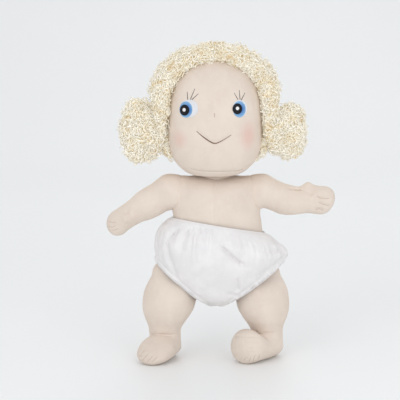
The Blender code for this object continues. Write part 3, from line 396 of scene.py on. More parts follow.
def soft_form(rings, around, rows):
    """A grid rolled up over the control rings and closed at its seam and poles, with a cloth map on it."""
    form = bmesh.new()
    form.loops.layers.uv.new("UVMap")
    bmesh.ops.create_grid(form, x_segments=around, y_segments=rows, size=1.0, calc_uvs=True)
    rim = [vertex for vertex in form.verts if max(abs(vertex.co.x), abs(vertex.co.y)) > GRID_RIM]
    lines = [ring_at(rings, (len(rings) - 1) * row / rows) for row in range(rows + 1)]
    for vertex in form.verts:
        row = round((1.0 - vertex.co.y) / 2 * rows)
        vertex.co = lines[row].point(math.pi * vertex.co.x)
    bmesh.ops.remove_doubles(form, verts=rim, dist=TOUCH)
    bmesh.ops.recalc_face_normals(form, faces=form.faces)
    form.normal_update()
    return form


def sight(pixel):
    """Where the photograph's camera is, and which way it sees a pixel, in the doll's frame."""
    back = Vector((0, -math.cos(EYE_ELEVATION), math.sin(EYE_ELEVATION)))
    over = Vector((0, math.sin(EYE_ELEVATION), math.cos(EYE_ELEVATION)))
    half = PHOTO_PIXELS / 2
    target = PHOTO_MIDDLE + SIDEWAYS * (pixel[0] - half) * PIXEL + over * (half - pixel[1]) * PIXEL
    eye = PHOTO_MIDDLE + back * EYE_DISTANCE
    return eye, (target - eye).normalized()


def tree_of(form):
    return BVHTree.FromBMesh(form)


def seen(tree, pixel):
    """The point of a form under a pixel of the photograph, and the way out of it there."""
    eye, way = sight(pixel)
    place, normal, _, _ = tree.ray_cast(eye, way)
    if place is None:
        place, normal, _, _ = tree.find_nearest(eye + way * EYE_DISTANCE)
    return place, normal


def line_of(tree, pixels, steps=4):
    """Points on a form under a smooth line through pixels of the photograph."""
    points = [Vector((*pixel, 0)) for pixel in pixels]
    path = []
    for index in range(len(points) - 1):
        before = points[index - 1] if index else 2 * points[0] - points[1]
        after = points[index + 2] if index + 2 < len(points) else 2 * points[-1] - points[-2]
        for step in range(steps):
            path.append(curved(before, points[index], points[index + 1], after, step / steps))
    path.append(points[-1])
    return [seen(tree, point)[0] for point in path]


def arrays(form):
    """The places and the outward ways of a form's vertices."""
    form.normal_update()
    places = np.array([vertex.co[:] for vertex in form.verts])
    return places, np.array([vertex.normal[:] for vertex in form.verts])


def shift(form, moves):
    for vertex, move in zip(form.verts, moves.tolist()):
        vertex.co += Vector(move)


def groove(form, line, depth, width, fade=0.15, way=None):
    """Press a soft line into a form, fading at its ends, against its normals or against one way out."""
    places, normals = arrays(form)
    if way is not None:
        normals = np.tile(np.array(way), (len(places), 1))
    points = np.array(line)
    reach = 2.6 * width
    near = np.all((places > points.min(0) - reach) & (places < points.max(0) + reach), axis=1)
    chosen = places[near]
    best, along = np.full(len(chosen), 1e9), np.zeros(len(chosen))
    for index in range(len(points) - 1):
        run = points[index + 1] - points[index]
        share = np.clip((chosen - points[index]) @ run / max(run @ run, 1e-12), 0.0, 1.0)
        gap = np.linalg.norm(points[index] + share[:, None] * run - chosen, axis=1)
        closer = gap < best
        best = np.where(closer, gap, best)
        along = np.where(closer, (index + share) / (len(points) - 1), along)
    end = np.minimum(1.0, np.minimum(along, 1 - along) / fade + 0.25)
    moves = np.zeros_like(places)
    moves[near] = normals[near] * (-depth * end * np.exp(-(best / width) ** 2))[:, None]
    shift(form, moves)


def dent(form, place, depth, width, way=None):
    """Press a soft round dent into a form; a negative depth raises a bump."""
    places, normals = arrays(form)
    gap = np.linalg.norm(places - np.array(place), axis=1) / width
    ways = normals if way is None else np.tile(np.array(way), (len(places), 1))
    shift(form, ways * (-depth * np.exp(-gap * gap))[:, None])


def lumpy(form, kind, side=0):
    """The uneven fullness of hand stuffing, another one on each side."""
    size, depth, seed = LUMPS[kind]
    seed += side
    _, normals = arrays(form)
    start = Vector((seed, seed * 0.37, -seed))
    heights = [depth * noise.noise(vertex.co / size + start) for vertex in form.verts]
    shift(form, normals * np.array(heights)[:, None])


def fill_crease(form, other, centre):
    """Swell a form towards another that it is sewn to, so that the two meet without a sharp corner."""
    form.normal_update()
    moves = []
    for vertex in form.verts:
        if (vertex.co - centre).length < CREASE_AREA:
            _, _, _, gap = other.find_nearest(vertex.co, 3 * CREASE_REACH)
            if gap is not None:
                moves.append((vertex, vertex.normal * CREASE_RISE * math.exp(-(gap / CREASE_REACH) ** 2)))
    for vertex, move in moves:
        vertex.co += move


def mesh_of(name, form):
    mesh = bpy.data.meshes.new(name)
    form.to_mesh(mesh)
    form.free()
    mesh.shade_smooth()
    return mesh


def placed(name, data):
    """A new object in the scene."""
    made = bpy.data.objects.new(name, data)
    bpy.context.scene.collection.objects.link(made)
    return made


def piece(name, form, material, body=None):
    """Make an object of a form, move it home and let it ride on its body."""
    bmesh.ops.translate(form, verts=form.verts, vec=HOME)
    made = placed(name, mesh_of(name, form))
    made.data.materials.append(material)
    if body:
        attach(made, body)
    return made


def skin(part, form, wales, courses, blush=()):
    """The jersey over the stuffing of a part."""
    name = f"{part}_jersey"
    made = piece(name, form, jersey(name, wales, courses, blush), part)
    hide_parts(f"{part}_skin")


def thicken(made, thickness):
    """Give a surface its thickness, inward."""
    wall = made.modifiers.new("thickness", "SOLIDIFY")
    wall.thickness = thickness
    wall.offset = -1.0


def thread(name, line, radius, material, body, taper=None):
    """Sewing thread through points of the doll's frame."""
    curve = bpy.data.curves.new(name, "CURVE")
    curve.dimensions = "3D"
    curve.bevel_depth = radius
    curve.bevel_resolution = 3
    curve.use_fill_caps = True
    spline = curve.splines.new("POLY")
    spline.points.add(len(line) - 1)
    for index, (knot, point) in enumerate(zip(spline.points, line)):
        knot.co = (*(point + HOME), 1.0)
        if taper:
            knot.radius = taper(index / (len(line) - 1))
    made = placed(name, curve)
    made.data.materials.append(material)
    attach(made, body)
    return made


def stitches(tree, names, pixel_lines, material, body):
    """The lines of thread between fingers or toes, pulled a little into the skin."""
    for name, pixels in zip(names, pixel_lines):
        line = lifted(tree, line_of(tree, pixels), -STITCH_SINK)
        made = thread(f"{name}_seam", line, STITCH_RADIUS, material, body)
        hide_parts(f"{name}_stitch")


# Head

HEAD_SHARES = (
    (1.000, 0.00, 0.00, 1.0),
    (0.980, 0.26, 0.26, 1.0),
    (0.944, 0.47, 0.47, 1.0),
    (0.884, 0.67, 0.67, 1.0),
    (0.809, 0.83, 0.83, 1.0),
    (0.710, 0.945, 0.935, 1.0),
    (0.585, 1.00, 0.995, 1.0),
    (0.452, 1.00, 1.00, 1.0),
    (0.320, 1.00, 0.985, 1.0),
    (0.203, 0.958, 0.940, 1.0),
    (0.112, 0.850, 0.850, 1.0),
    (0.046, 0.690, 0.710, 1.0),
    (0.009, 0.530, 0.560, 0.6),
    (0.014, 0.430, 0.440, -0.5),
    (0.030, 0.330, 0.340, -0.7),
    (0.036, 0.000, 0.000, -0.7),
)
EYES = {
    "right": {"white": (189.3, 108.4, 8.9, 8.8), "iris": (186.1, 109.5, 6.4, 8.1),
              "pupil": (184.9, 110.1, 4.7, 5.5), "glint": (184.6, 109.8, 1.55, 1.75)},
    "left": {"white": (239.9, 108.5, 7.4, 8.7), "iris": (239.2, 109.2, 6.3, 8.2),
             "pupil": (237.1, 108.8, 4.8, 5.5), "glint": (237.2, 108.4, 1.65, 1.75)},
}
LASHES = {
    "right": {"outer": ((187.8, 99.6), (187.3, 91.8)), "middle": ((190.4, 99.4), (195.0, 88.6)),
              "inner": ((191.9, 99.6), (198.3, 93.8))},
    "left": {"inner": ((238.0, 99.6), (234.0, 92.8)), "middle": ((240.0, 99.5), (239.2, 90.1)),
             "outer": ((241.0, 100.3), (244.9, 92.8))},
}
MOUTH_PIXELS = (
    (196.6, 131.2), (200.3, 134.6), (204.4, 137.8), (209.4, 141.2), (214.4, 143.4), (219.6, 142.0),
    (225.6, 138.6), (231.2, 135.0),
)
CHIN_PIXELS = (
    (191.0, 168.4), (197.0, 170.3), (206.0, 171.2), (216.0, 171.4), (228.0, 171.2), (238.0, 170.6),
    (243.5, 168.8),
)
NOSE_PIXEL = (213.0, 107.0)
NOSE_RISE = 0.0011
NOSE_REACH = 0.0055
NOSE_STITCH_PIXELS = ((214.2, 113.0), (214.5, 115.2), (214.6, 117.4))
# pixel, reach and strength of the blush on each cheek
CHEEKS = (
    ((179.0, 139.5), (0.0130, 0.0180, 0.0140), 0.42),
    ((248.4, 136.0), (0.0140, 0.0180, 0.0200), 0.55),
)
# thread material, slot, inner and outer colour, reach and number of rays, and lift off the face
EYE_LAYERS = {
    "white": ("white", "white_thread", srgb(244, 244, 246), srgb(226, 228, 232), 0.010, 60.0, 0.00010),
    "iris": ("blue", "blue_thread", srgb(66, 118, 190), srgb(150, 196, 232), 0.0080, 44.0, 0.00032),
    "pupil": ("black", "black_thread", srgb(14, 14, 20), srgb(22, 24, 34), 0.006, 36.0, 0.00054),
    "glint": ("glint", "white_thread", srgb(250, 250, 250), srgb(240, 240, 244), 0.004, 20.0, 0.00076),
}
PATCH_DOME = 0.0002
LASH_STEPS = 5
LASH_LIFT = 0.0001
LASH_RADIUS = 0.00034
# node, name, lift and radius of the face's other threads
FACE_THREADS = {
    "mouth": ("mouth_stitch", "mouth_backstitch", 0.00012, 0.00045),
    "nose": ("nose_stitch", "nose_dot", 0.0, 0.00024),
    "chin": ("chin_seam_thread", "chin_seam", -0.00012, 0.00026),
}
STITCH_RADIUS = 0.00022
STITCH_SINK = 0.0001


def head_rings():
    rings = []
    for height, wide, deep, forward in HEAD_SHARES:
        centre = (HEAD_SIDEWAYS, -HEAD_FORWARD * forward, HEAD_BASE + HEAD_HEIGHT * height)
        rings.append(level_ring(centre, HEAD_WIDTH / 2 * wide, HEAD_DEPTH / 2 * deep))
    return rings


def make_head():
    form = soft_form(head_rings(), 240, 180)
    lumpy(form, "head")
    tree = tree_of(form)
    mouth = line_of(tree, MOUTH_PIXELS)
    nose, _ = seen(tree, NOSE_PIXEL)
    chin = line_of(tree, CHIN_PIXELS)
    nose_stitch = line_of(tree, NOSE_STITCH_PIXELS)
    dent(form, nose, -NOSE_RISE, NOSE_REACH)
    groove(form, mouth, 0.0012, 0.0024, fade=0.2)
    for corner in (mouth[0], mouth[-1]):
        dent(form, corner, 0.0006, 0.0028)
    dent(form, nose_stitch[4], 0.0005, 0.0022)
    groove(form, chin, 0.0006, 0.0012, fade=0.1)
    blush = [
        (tuple(seen(tree, pixel)[0] + HOME), reach, strength) for pixel, reach, strength in CHEEKS
    ]
    face_tree = tree_of(form)
    threads = {
        "mouth": line_of(face_tree, MOUTH_PIXELS, 6),
        "chin": line_of(face_tree, CHIN_PIXELS, 6),
        "nose": line_of(face_tree, NOSE_STITCH_PIXELS, 4),
    }
    skin("head", form, 330.0, 240.0, blush)
    return face_tree, threads


def lifted(tree, line, lift):
    """A line raised off a form."""
    raised = []
    for point in line:
        place, normal, _, _ = tree.find_nearest(point)
        raised.append(place + normal * lift)
    return raised


def mouth_taper(share):
    """Fuller in the middle of the smile."""
    return 0.55 + 0.75 * math.exp(-((share - 0.45) / 0.28) ** 2)


def make_face_threads(tree, threads):
    beige = plied("mouth_thread", srgb(150, 124, 108), srgb(112, 88, 76))
    pale = plied("seam_thread", srgb(196, 178, 162), srgb(168, 148, 132))
    for part, (node, name, lift, radius) in FACE_THREADS.items():
        material, taper = (beige, mouth_taper) if part == "mouth" else (pale, None)
        made = thread(name, lifted(tree, threads[part], lift), radius, material, "head", taper)
        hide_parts(node)


def stitched_patch(name, tree, spot, lift, material, node):
    """A flat oval of satin stitch that follows the face."""
    x, y, wide, tall = spot
    form = bmesh.new()
    bmesh.ops.create_uvsphere(form, u_segments=48, v_segments=24, radius=1.0)
    bmesh.ops.rotate(form, verts=form.verts, cent=(0, 0, 0), matrix=Matrix.Rotation(math.pi / 2, 3, "X"))
    for vertex in form.verts:
        place, normal = seen(tree, (x + vertex.co.x * wide, y - vertex.co.z * tall))
        vertex.co = place + normal * (lift - vertex.co.y * PATCH_DOME)
    bmesh.ops.recalc_face_normals(form, faces=form.faces)
    made = piece(name, form, material, "head")
    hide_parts(node)
    return made


def make_eyes(tree):
    lash_thread = plied("lash_thread", srgb(92, 82, 80), srgb(56, 50, 50))
    for _, side in SIDES:
        middle, _ = seen(tree, EYES[side]["iris"][:2])
        middle = tuple(middle + HOME)
        for layer, spot in EYES[side].items():
            kind, slot, inner, outer, reach, rays, lift = EYE_LAYERS[layer]
            material = satin(f"{side}_{kind}_satin", inner, outer, middle, reach, rays)
            node = f"{side}_eye_{layer}"
            made = stitched_patch(f"{side}_satin_{layer}", tree, spot, lift, material, node)
        for lash, (foot, tip) in LASHES[side].items():
            line = []
            for step in range(LASH_STEPS + 1):
                pixel = [start + (end - start) * step / LASH_STEPS for start, end in zip(foot, tip)]
                place, normal = seen(tree, pixel)
                line.append(place + normal * LASH_LIFT)
            made = thread(f"{side}_{lash}_eyelash", line, LASH_RADIUS, lash_thread, "head",
                          lambda share: 1.0 - 0.45 * share)
            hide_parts(f"{side}_{lash}_lash")


# Body

BODY_SHARES = (
    (0.990, 0.000, 0.00, 0.00),
    (0.985, 0.000, 0.42, 0.24),
    (0.964, 0.000, 0.68, 0.48),
    (0.920, 0.000, 0.765, 0.71),
    (0.850, 0.000, 0.775, 0.875),
    (0.753, 0.000, 0.785, 0.965),
    (0.649, 0.000, 0.825, 1.00),
    (0.536, 0.010, 0.855, 0.985),
    (0.423, 0.022, 0.865, 0.92),
    (0.309, 0.020, 0.905, 0.76),
    (0.206, 0.010, 0.95, 0.55),
    (0.113, 0.000, 0.965, 0.31),
    (0.041, 0.000, 0.94, 0.11),
    (0.012, 0.000, 0.88, 0.03),
    (0.010, 0.000, 0.00, 0.00),
)
CENTRE_SEAM_PIXELS = (
    (213.6, 180.0), (213.4, 188.0), (213.6, 197.0), (213.4, 206.0), (213.6, 214.0), (213.8, 223.0),
)
# how the skins swell towards each other where an arm is sewn on
CREASE_AREA = 0.034
CREASE_REACH = 0.0045
CREASE_RISE = 0.0017


def body_rings():
    rings = []
    for height, sideways, wide, deep in BODY_SHARES:
        centre = (BODY_WIDTH * sideways, 0, HIP_HEIGHT + BODY_HEIGHT * height)
        rings.append(level_ring(centre, BODY_WIDTH / 2 * wide, BODY_DEPTH / 2 * deep))
    return rings


def make_body():
    form = soft_form(body_rings(), 200, 150)
    lumpy(form, "body")
    groove(form, line_of(tree_of(form), CENTRE_SEAM_PIXELS), 0.0006, 0.0012, fade=0.05)
    for side, name in SIDES:
        arm = soft_form(arm_rings(side, name), 64, 80)
        fill_crease(form, tree_of(arm), shoulder_place(side))
        arm.free()
    skin("body", form, 300.0, 150.0)


# Arms

SHOULDER_HALF_SPAN = 0.0455
SHOULDER_Z = SHOULDER_TOP - 0.0168
SHOULDER_BALL_RADIUS = 0.0173
ARM_LENGTH = 0.0740
ARM_HALF_HEIGHT = 0.0160
ARM_HALF_DEPTH = 0.0150
ARM_TILTS = {"right": math.radians(30), "left": math.radians(7)}
ARM_SHARES = (
    (0.170, 0.990, 0.980, 0.000, 0.035),
    (0.290, 0.990, 0.970, 0.000, 0.070),
    (0.420, 0.930, 0.900, 0.000, 0.080),
    (0.530, 0.810, 0.790, 0.000, 0.078),
    (0.640, 0.760, 0.700, 0.006, 0.062),
    (0.750, 0.840, 0.720, 0.014, 0.040),
    (0.850, 0.880, 0.680, 0.026, 0.024),
    (0.930, 0.720, 0.540, 0.036, 0.012),
    (0.980, 0.420, 0.330, 0.042, 0.004),
    (1.000, 0.000, 0.000, 0.044, 0.000),
)
BALL_TURNS = [math.radians(turn) for turn in (20, 42, 64, 86, 105)]
THUMB_SHARE = 0.65
THUMB_REACH = 0.0075
THUMB_PUSH = 0.0068
THUMB_TIP_INWARD = 0.0036
THUMB_TIP_SIZE = 0.0060
ABOVE_ARM = 0.04
RIGHT_HAND_RATIO = 0.88
FINGERS = ("upper", "middle", "lower")
HAND_LINES = {
    "right": (
        ((108.5, 221.5), (112.0, 222.5), (116.0, 222.0)),
        ((107.5, 226.5), (111.5, 227.0), (115.5, 226.0)),
        ((111.5, 230.6), (115.0, 230.0), (118.0, 228.6)),
    ),
    "left": (
        ((316.8, 196.2), (320.4, 197.8), (324.0, 198.6), (329.4, 198.4)),
        ((319.0, 202.4), (322.0, 203.8), (325.0, 205.0), (329.6, 205.4)),
        ((315.6, 209.8), (319.2, 208.8), (323.0, 210.6)),
    ),
}
HAND_LINE_DEPTHS = {"right": 0.0004, "left": 0.0013}
# pixels of a fold, its depth and its width
ARM_FOLDS = {
    "right": (
        (((126.5, 210.5), (128.4, 213.5), (129.6, 217.0)), 0.0010, 0.0014),
        (((119.0, 216.0), (123.0, 222.0), (128.0, 225.0)), 0.0005, 0.0022),
        (((112.5, 224.0), (117.5, 226.5), (123.0, 227.0)), 0.0003, 0.0016),
        (((142.0, 200.0), (146.0, 203.0), (152.0, 203.0)), 0.0004, 0.0022),
    ),
    "left": (
        (((289.4, 188.4), (293.6, 188.8), (297.6, 189.2), (301.2, 189.2)), 0.0040, 0.0012),
        (((302.4, 188.4), (305.4, 190.8), (310.8, 193.8)), 0.0009, 0.0016),
        (((310.0, 193.4), (311.0, 194.0), (312.0, 194.4)), 0.0010, 0.0011),
        (((272.0, 194.0), (276.0, 196.0), (281.0, 195.6)), 0.0004, 0.0020),
        (((289.0, 193.0), (288.0, 199.0), (289.0, 205.0)), 0.0004, 0.0022),
    ),
}


def shoulder_place(side):
    return Vector((side * SHOULDER_HALF_SPAN, 0, SHOULDER_Z))


def arm_ways(side, name):
    """Along an arm and up across it."""
    tilt = ARM_TILTS[name]
    sine, cosine = math.sin(tilt), math.cos(tilt)
    return Vector((side * cosine, 0, -sine)), Vector((side * sine, 0, cosine))


def arm_rings(side, name):
    along, up = arm_ways(side, name)
    start = shoulder_place(side)
    rings = [Ring(start - along * SHOULDER_BALL_RADIUS, NO_SIZE, NO_SIZE)]
    for turn in BALL_TURNS:
        radius = SHOULDER_BALL_RADIUS * math.sin(turn)
        centre = start - along * SHOULDER_BALL_RADIUS * math.cos(turn)
        rings.append(Ring(centre, up * radius, FORWARD * radius))
    for share, high, deep, right_sag, left_sag in ARM_SHARES:
        sag = right_sag if side == RIGHT else left_sag
        hand = RIGHT_HAND_RATIO if side == RIGHT and share >= THUMB_SHARE else 1.0
        centre = start + along * ARM_LENGTH * share - up * ARM_LENGTH * sag
        over = FORWARD * ARM_HALF_DEPTH * deep / hand
        rings.append(Ring(centre, up * ARM_HALF_HEIGHT * high * hand, over))
    return rings


def make_arm(side, name):
    form = soft_form(arm_rings(side, name), 110, 170)
    lumpy(form, "arm", side)
    torso = soft_form(body_rings(), 120, 90)
    fill_crease(form, tree_of(torso), shoulder_place(side))
    torso.free()
    along, up = arm_ways(side, name)
    thumb_base = shoulder_place(side) + along * ARM_LENGTH * THUMB_SHARE
    stitch = plied(f"{name}_finger_thread", srgb(204, 186, 171), srgb(178, 158, 142))
    if side == LEFT:
        dent(form, thumb_base + up * ARM_HALF_HEIGHT, -THUMB_PUSH, THUMB_REACH, way=up)
        above = thumb_base + up * ABOVE_ARM - along * THUMB_TIP_INWARD
        tip, _, _, _ = tree_of(form).ray_cast(above, -up)
        dent(form, tip, -THUMB_TIP_SIZE, THUMB_TIP_SIZE, way=up)
    else:
        dent(form, thumb_base + FORWARD * ARM_HALF_DEPTH, -THUMB_PUSH, THUMB_REACH, way=FORWARD)
    tree = tree_of(form)
    for pixels, depth, width in ARM_FOLDS[name]:
        groove(form, line_of(tree, pixels), depth, width)
    for pixels in HAND_LINES[name]:
        groove(form, line_of(tree, pixels), HAND_LINE_DEPTHS[name], 0.0013, fade=0.2)
    arm = f"{name}_arm"
    fingers = [f"{name}_{finger}_finger" for finger in FINGERS]
    stitches(tree_of(form), fingers, HAND_LINES[name], stitch, arm)
    skin(arm, form, 110.0, 150.0)


# Legs

HIP_HALF_SPAN = 0.0370
LEG_WIDTH = 0.0540
LEG_DEPTH = 0.0500
FOOT_LENGTH = 0.0580
FOOT_HEIGHT = 0.0265
FOOT_WIDTH = 0.0385
SOLE_CUT = 0.0005
FOOT_TURNS = {"right": math.radians(23), "left": math.radians(40)}
LEG_SHARES = (
    (1.078, 0.31, 0.00, 0.00),
    (1.072, 0.30, 0.18, 0.12),
    (1.042, 0.22, 0.46, 0.28),
    (0.995, 0.06, 0.86, 0.42),
    (0.933, 0.04, 0.95, 0.55),
    (0.856, 0.09, 0.99, 0.72),
    (0.767, 0.15, 1.00, 0.88),
    (0.667, 0.18, 1.00, 0.97),
    (0.556, 0.205, 0.95, 1.00),
    (0.456, 0.235, 0.82, 0.92),
    (0.378, 0.255, 0.68, 0.78),
    (0.320, 0.270, 0.61, 0.69),
)
FOOT_SHARES = {
    "right": (
        (-0.009, 0.745, 0.83, 0.690, 26),
        (0.030, 0.530, 0.89, 0.700, 42),
        (0.172, 0.485, 0.95, 0.566, 62),
        (0.345, 0.445, 0.98, 0.462, 81),
        (0.526, 0.365, 0.87, 0.382, 88),
        (0.652, 0.300, 0.65, 0.288, 90),
        (0.715, 0.276, 0.39, 0.176, 90),
        (0.741, 0.268, 0.00, 0.000, 90),
    ),
    "left": (
        (-0.009, 0.745, 0.83, 0.690, 26),
        (0.030, 0.530, 0.89, 0.700, 42),
        (0.172, 0.505, 0.95, 0.592, 62),
        (0.345, 0.580, 0.98, 0.602, 82),
        (0.526, 0.645, 1.00, 0.670, 90),
        (0.652, 0.610, 0.84, 0.590, 90),
        (0.728, 0.560, 0.50, 0.360, 90),
        (0.760, 0.545, 0.00, 0.000, 90),
    ),
}
FOOT_TWIST_SHARES = (0.30, 0.65, 1.00, 1.00, 1.00, 1.00, 1.00, 1.00)
LEG_FOLDS = {
    "right": (
        (((181.0, 333.6), (174.0, 334.6), (168.0, 335.4), (160.0, 335.6)), 0.0010, 0.0013),
        (((181.5, 329.0), (176.0, 331.2), (170.0, 332.4)), 0.0006, 0.0013),
        (((149.0, 333.0), (154.0, 335.5), (160.0, 336.0)), 0.0004, 0.0016),
    ),
    "left": (
        (((255.6, 331.6), (257.4, 332.6), (259.4, 334.4)), 0.0014, 0.0012),
        (((263.0, 332.4), (268.5, 333.2), (274.8, 332.2)), 0.0009, 0.0015),
        (((233.6, 336.0), (241.0, 336.6), (250.0, 336.6), (257.6, 336.4)), 0.0012, 0.0011),
        (((243.6, 341.6), (248.6, 342.0), (255.8, 340.2)), 0.0010, 0.0011),
        (((247.6, 348.4), (249.8, 348.2), (252.0, 348.5)), 0.0006, 0.0010),
        (((250.4, 352.4), (252.0, 352.2), (253.4, 352.6)), 0.0005, 0.0010),
    ),
}
TOES = ("first", "second", "third", "fourth")
TOE_LINES = {
    "right": (
        ((139.0, 357.0), (141.5, 353.5), (144.5, 350.5)),
        ((142.6, 360.4), (145.5, 356.5), (148.5, 353.5)),
        ((147.0, 362.5), (150.0, 359.0), (152.6, 356.0)),
        ((152.0, 362.6), (154.6, 359.6), (157.0, 357.0)),
    ),
    "left": (
        ((244.0, 361.0), (245.2, 358.6), (247.6, 357.4)),
        ((249.0, 362.4), (249.8, 359.8), (250.6, 357.4)),
        ((253.2, 361.8), (253.8, 358.6), (255.4, 354.6)),
        ((258.4, 359.6), (259.0, 357.0), (260.4, 354.4)),
    ),
}


def leg_rings(side, name):
    rings = []
    for height, spread, wide, deep in LEG_SHARES:
        centre = (side * (HIP_HALF_SPAN + LEG_WIDTH * spread), 0, HIP_HEIGHT * height)
        rings.append(level_ring(centre, LEG_WIDTH / 2 * wide, LEG_DEPTH / 2 * deep))
    ankle = Vector((rings[-1].centre.x, 0, 0))
    for (ahead, height, wide, tall, lean_degrees), twist in zip(FOOT_SHARES[name], FOOT_TWIST_SHARES):
        turned = Matrix.Rotation(-FOOT_TURNS[name] * twist, 3, "Z")
        toward, across = turned @ FORWARD, turned @ SIDEWAYS
        lean = math.radians(lean_degrees)
        centre = ankle + toward * FOOT_LENGTH * ahead + UP * (FOOT_HEIGHT * height - SOLE_CUT)
        over = toward * math.cos(lean) + UP * math.sin(lean)
        rings.append(Ring(centre, across * FOOT_WIDTH / 2 * wide, -over * FOOT_HEIGHT * tall))
    return rings


def make_leg(side, name):
    form = soft_form(leg_rings(side, name), 130, 200)
    lumpy(form, "leg", side)
    tree = tree_of(form)
    for pixels, depth, width in LEG_FOLDS[name]:
        groove(form, line_of(tree, pixels), depth, width)
    for pixels in TOE_LINES[name]:
        groove(form, line_of(tree, pixels), 0.0005, 0.0013, fade=0.2)
    for vertex in form.verts:
        vertex.co.z = max(vertex.co.z, 0.0)
    stitch = plied(f"{name}_toe_thread", srgb(206, 188, 173), srgb(180, 160, 144))
    leg = f"{name}_leg"
    stitches(tree_of(form), [f"{name}_{toe}_toe" for toe in TOES], TOE_LINES[name], stitch, leg)
    skin(leg, form, 180.0, 190.0)


# Hair

HAIR_TOP = 0.0100
HAIR_SIDE = 0.0202
HAIR_BACK = 0.0160
HAIR_FRONT = -0.0060
HAIR_HEM = HEAD_BASE + HEAD_HEIGHT * 0.130
HAIR_SHARES = (
    (1.000, 0.00, 0.00),
    (0.985, 0.30, 0.30),
    (0.945, 0.53, 0.53),
    (0.880, 0.735, 0.73),
    (0.800, 0.885, 0.87),
    (0.700, 0.985, 0.95),
    (0.600, 1.000, 0.985),
    (0.500, 0.960, 1.000),
    (0.380, 0.890, 0.990),
    (0.260, 0.850, 0.950),
    (0.150, 0.800, 0.880),
    (0.070, 0.600, 0.660),
    (0.000, 0.00, 0.00),
)
FRINGE_RADIUS = 0.0102
FRINGE_MIDDLE = Vector((HEAD_SIDEWAYS, -0.0191, HEAD_BASE + HEAD_HEIGHT * 0.570))
FRINGE_SPREAD = 0.0540
FRINGE_RISE = 0.0522
SIDE_LOCK_SPREAD = 0.0535
SIDE_LOCK_BACK = 0.0080
SIDE_LOCK_LOW = 0.2190
BUNCH_HEIGHT = HEAD_BASE + HEAD_HEIGHT * 0.355
BUNCH_HALF_SPAN = HEAD_WIDTH / 2 + 0.0073
BUNCH_LENGTHS = {"right": 0.0436, "left": 0.0406}
BUNCH_HALF_HEIGHTS = {"right": 0.0358, "left": 0.0325}
BUNCH_HALF_DEPTH = 0.0250
BUNCH_SHARES = (
    (-0.16, 0.00, 0.00),
    (-0.13, 0.52, 0.46),
    (-0.04, 0.70, 0.64),
    (0.06, 0.80, 0.76),
    (0.18, 0.88, 0.86),
    (0.32, 0.94, 0.94),
    (0.46, 0.98, 0.98),
    (0.60, 1.00, 1.00),
    (0.76, 0.92, 0.92),
    (0.89, 0.70, 0.70),
    (0.97, 0.38, 0.38),
    (1.00, 0.00, 0.00),
)
LOCK_SIZE = 0.0075
STRAND_RADIUS = 0.00050
CURL_KINDS = (
    # turns, coil radius, length: tight rings, loose waves, short hooks and long ends
    (1.2, 0.0023, 0.0026),
    (1.5, 0.0020, 0.0040),
    (1.9, 0.0016, 0.0052),
    (0.8, 0.0029, 0.0028),
    (1.5, 0.0014, 0.0060),
    (1.4, 0.0020, 0.0056),
)


def curl_mesh(turns, radius, length, index):
    """A short open curl: a three-sided strand spun round its axis as it goes up."""
    form = bmesh.new()
    section = bmesh.ops.create_circle(form, segments=3, radius=STRAND_RADIUS)["verts"]
    bmesh.ops.rotate(form, verts=section, cent=(0, 0, 0), matrix=Matrix.Rotation(math.pi / 2, 3, "X"))
    bmesh.ops.translate(form, verts=section, vec=(radius, 0, 0))
    steps = max(6, round(7 * turns))
    bmesh.ops.spin(
        form, geom=form.verts[:] + form.edges[:], cent=(0, 0, 0), axis=(0, 0, 1),
        angle=2 * math.pi * turns, steps=steps, dvec=(0, 0, length / steps), use_merge=False,
    )
    bmesh.ops.holes_fill(form, edges=[edge for edge in form.edges if edge.is_boundary], sides=3)
    bmesh.ops.recalc_face_normals(form, faces=form.faces)
    mesh = bpy.data.meshes.new(f"curl_{index}")
    form.to_mesh(mesh)
    form.free()
    return mesh


def spread_places(form, count, chance, allowed):
    """Even random places over a form, each with the way out of the form there."""
    faces = [face for face in form.faces if allowed(face.calc_center_median())]
    total = sum(face.calc_area() for face in faces)
    places, owed = [], 0.0
    for face in faces:
        owed += count * face.calc_area() / total
        corners = [vertex.co for vertex in face.verts]
        while owed >= 1.0:
            owed -= 1.0
            weights = [chance.random() + 0.02 for _ in corners]
            whole = sum(weights)
            place = sum((corner * weight / whole for corner, weight in zip(corners, weights)), Vector())
            places.append((place, face.normal.copy()))
    return places


def curl_piece(name, places, curls, chance, body, material, size, depth):
    """Many curls at random turns over a form, in one mesh, with per-point values that paint shade: low for sunk
    curls and near the roots, high at their tips, plus random tone of the locks.
    """
    form = bmesh.new()
    values = []
    for place, outward in places:
        mesh = chance.choice(curls)
        scale = size * chance.uniform(0.75, 1.3)
        sunk = depth * chance.random() ** 1.3
        lean = Vector((chance.gauss(0, 0.40), chance.gauss(0, 0.40), chance.gauss(0, 0.40)))
        way = (outward + lean + 1.3 * noise.noise_vector(place / LOCK_SIZE)).normalized()
        turn = UP.rotation_difference(way).to_matrix().to_4x4() @ Matrix.Rotation(chance.uniform(0, 6.28), 4, "Z")
        spot = place - outward * sunk
        setting = Matrix.Translation(spot) @ turn @ Matrix.Scale(scale, 4)
        mesh.transform(setting)
        form.from_mesh(mesh)
        # Painted shade in the pile: curls sunk deeper and points nearer their roots get lower values, tips higher
        # ones; the lock noise and the random share are tone that differs at random.
        lock = 0.55 * noise.noise(place / LOCK_SIZE)
        value = (1.0 - sunk / depth) * 0.50 + lock + chance.uniform(-0.10, 0.20)
        values += [value + 90.0 * (vertex.co - spot).dot(outward) for vertex in mesh.vertices]
        mesh.transform(setting.inverted())
    made = piece(name, form, material, body)
    shade_and_tone = made.data.attributes.new("shade_and_tone", "FLOAT", "POINT")
    shade_and_tone.data.foreach_set("value", np.clip(values, 0.0, 1.0))
    return made


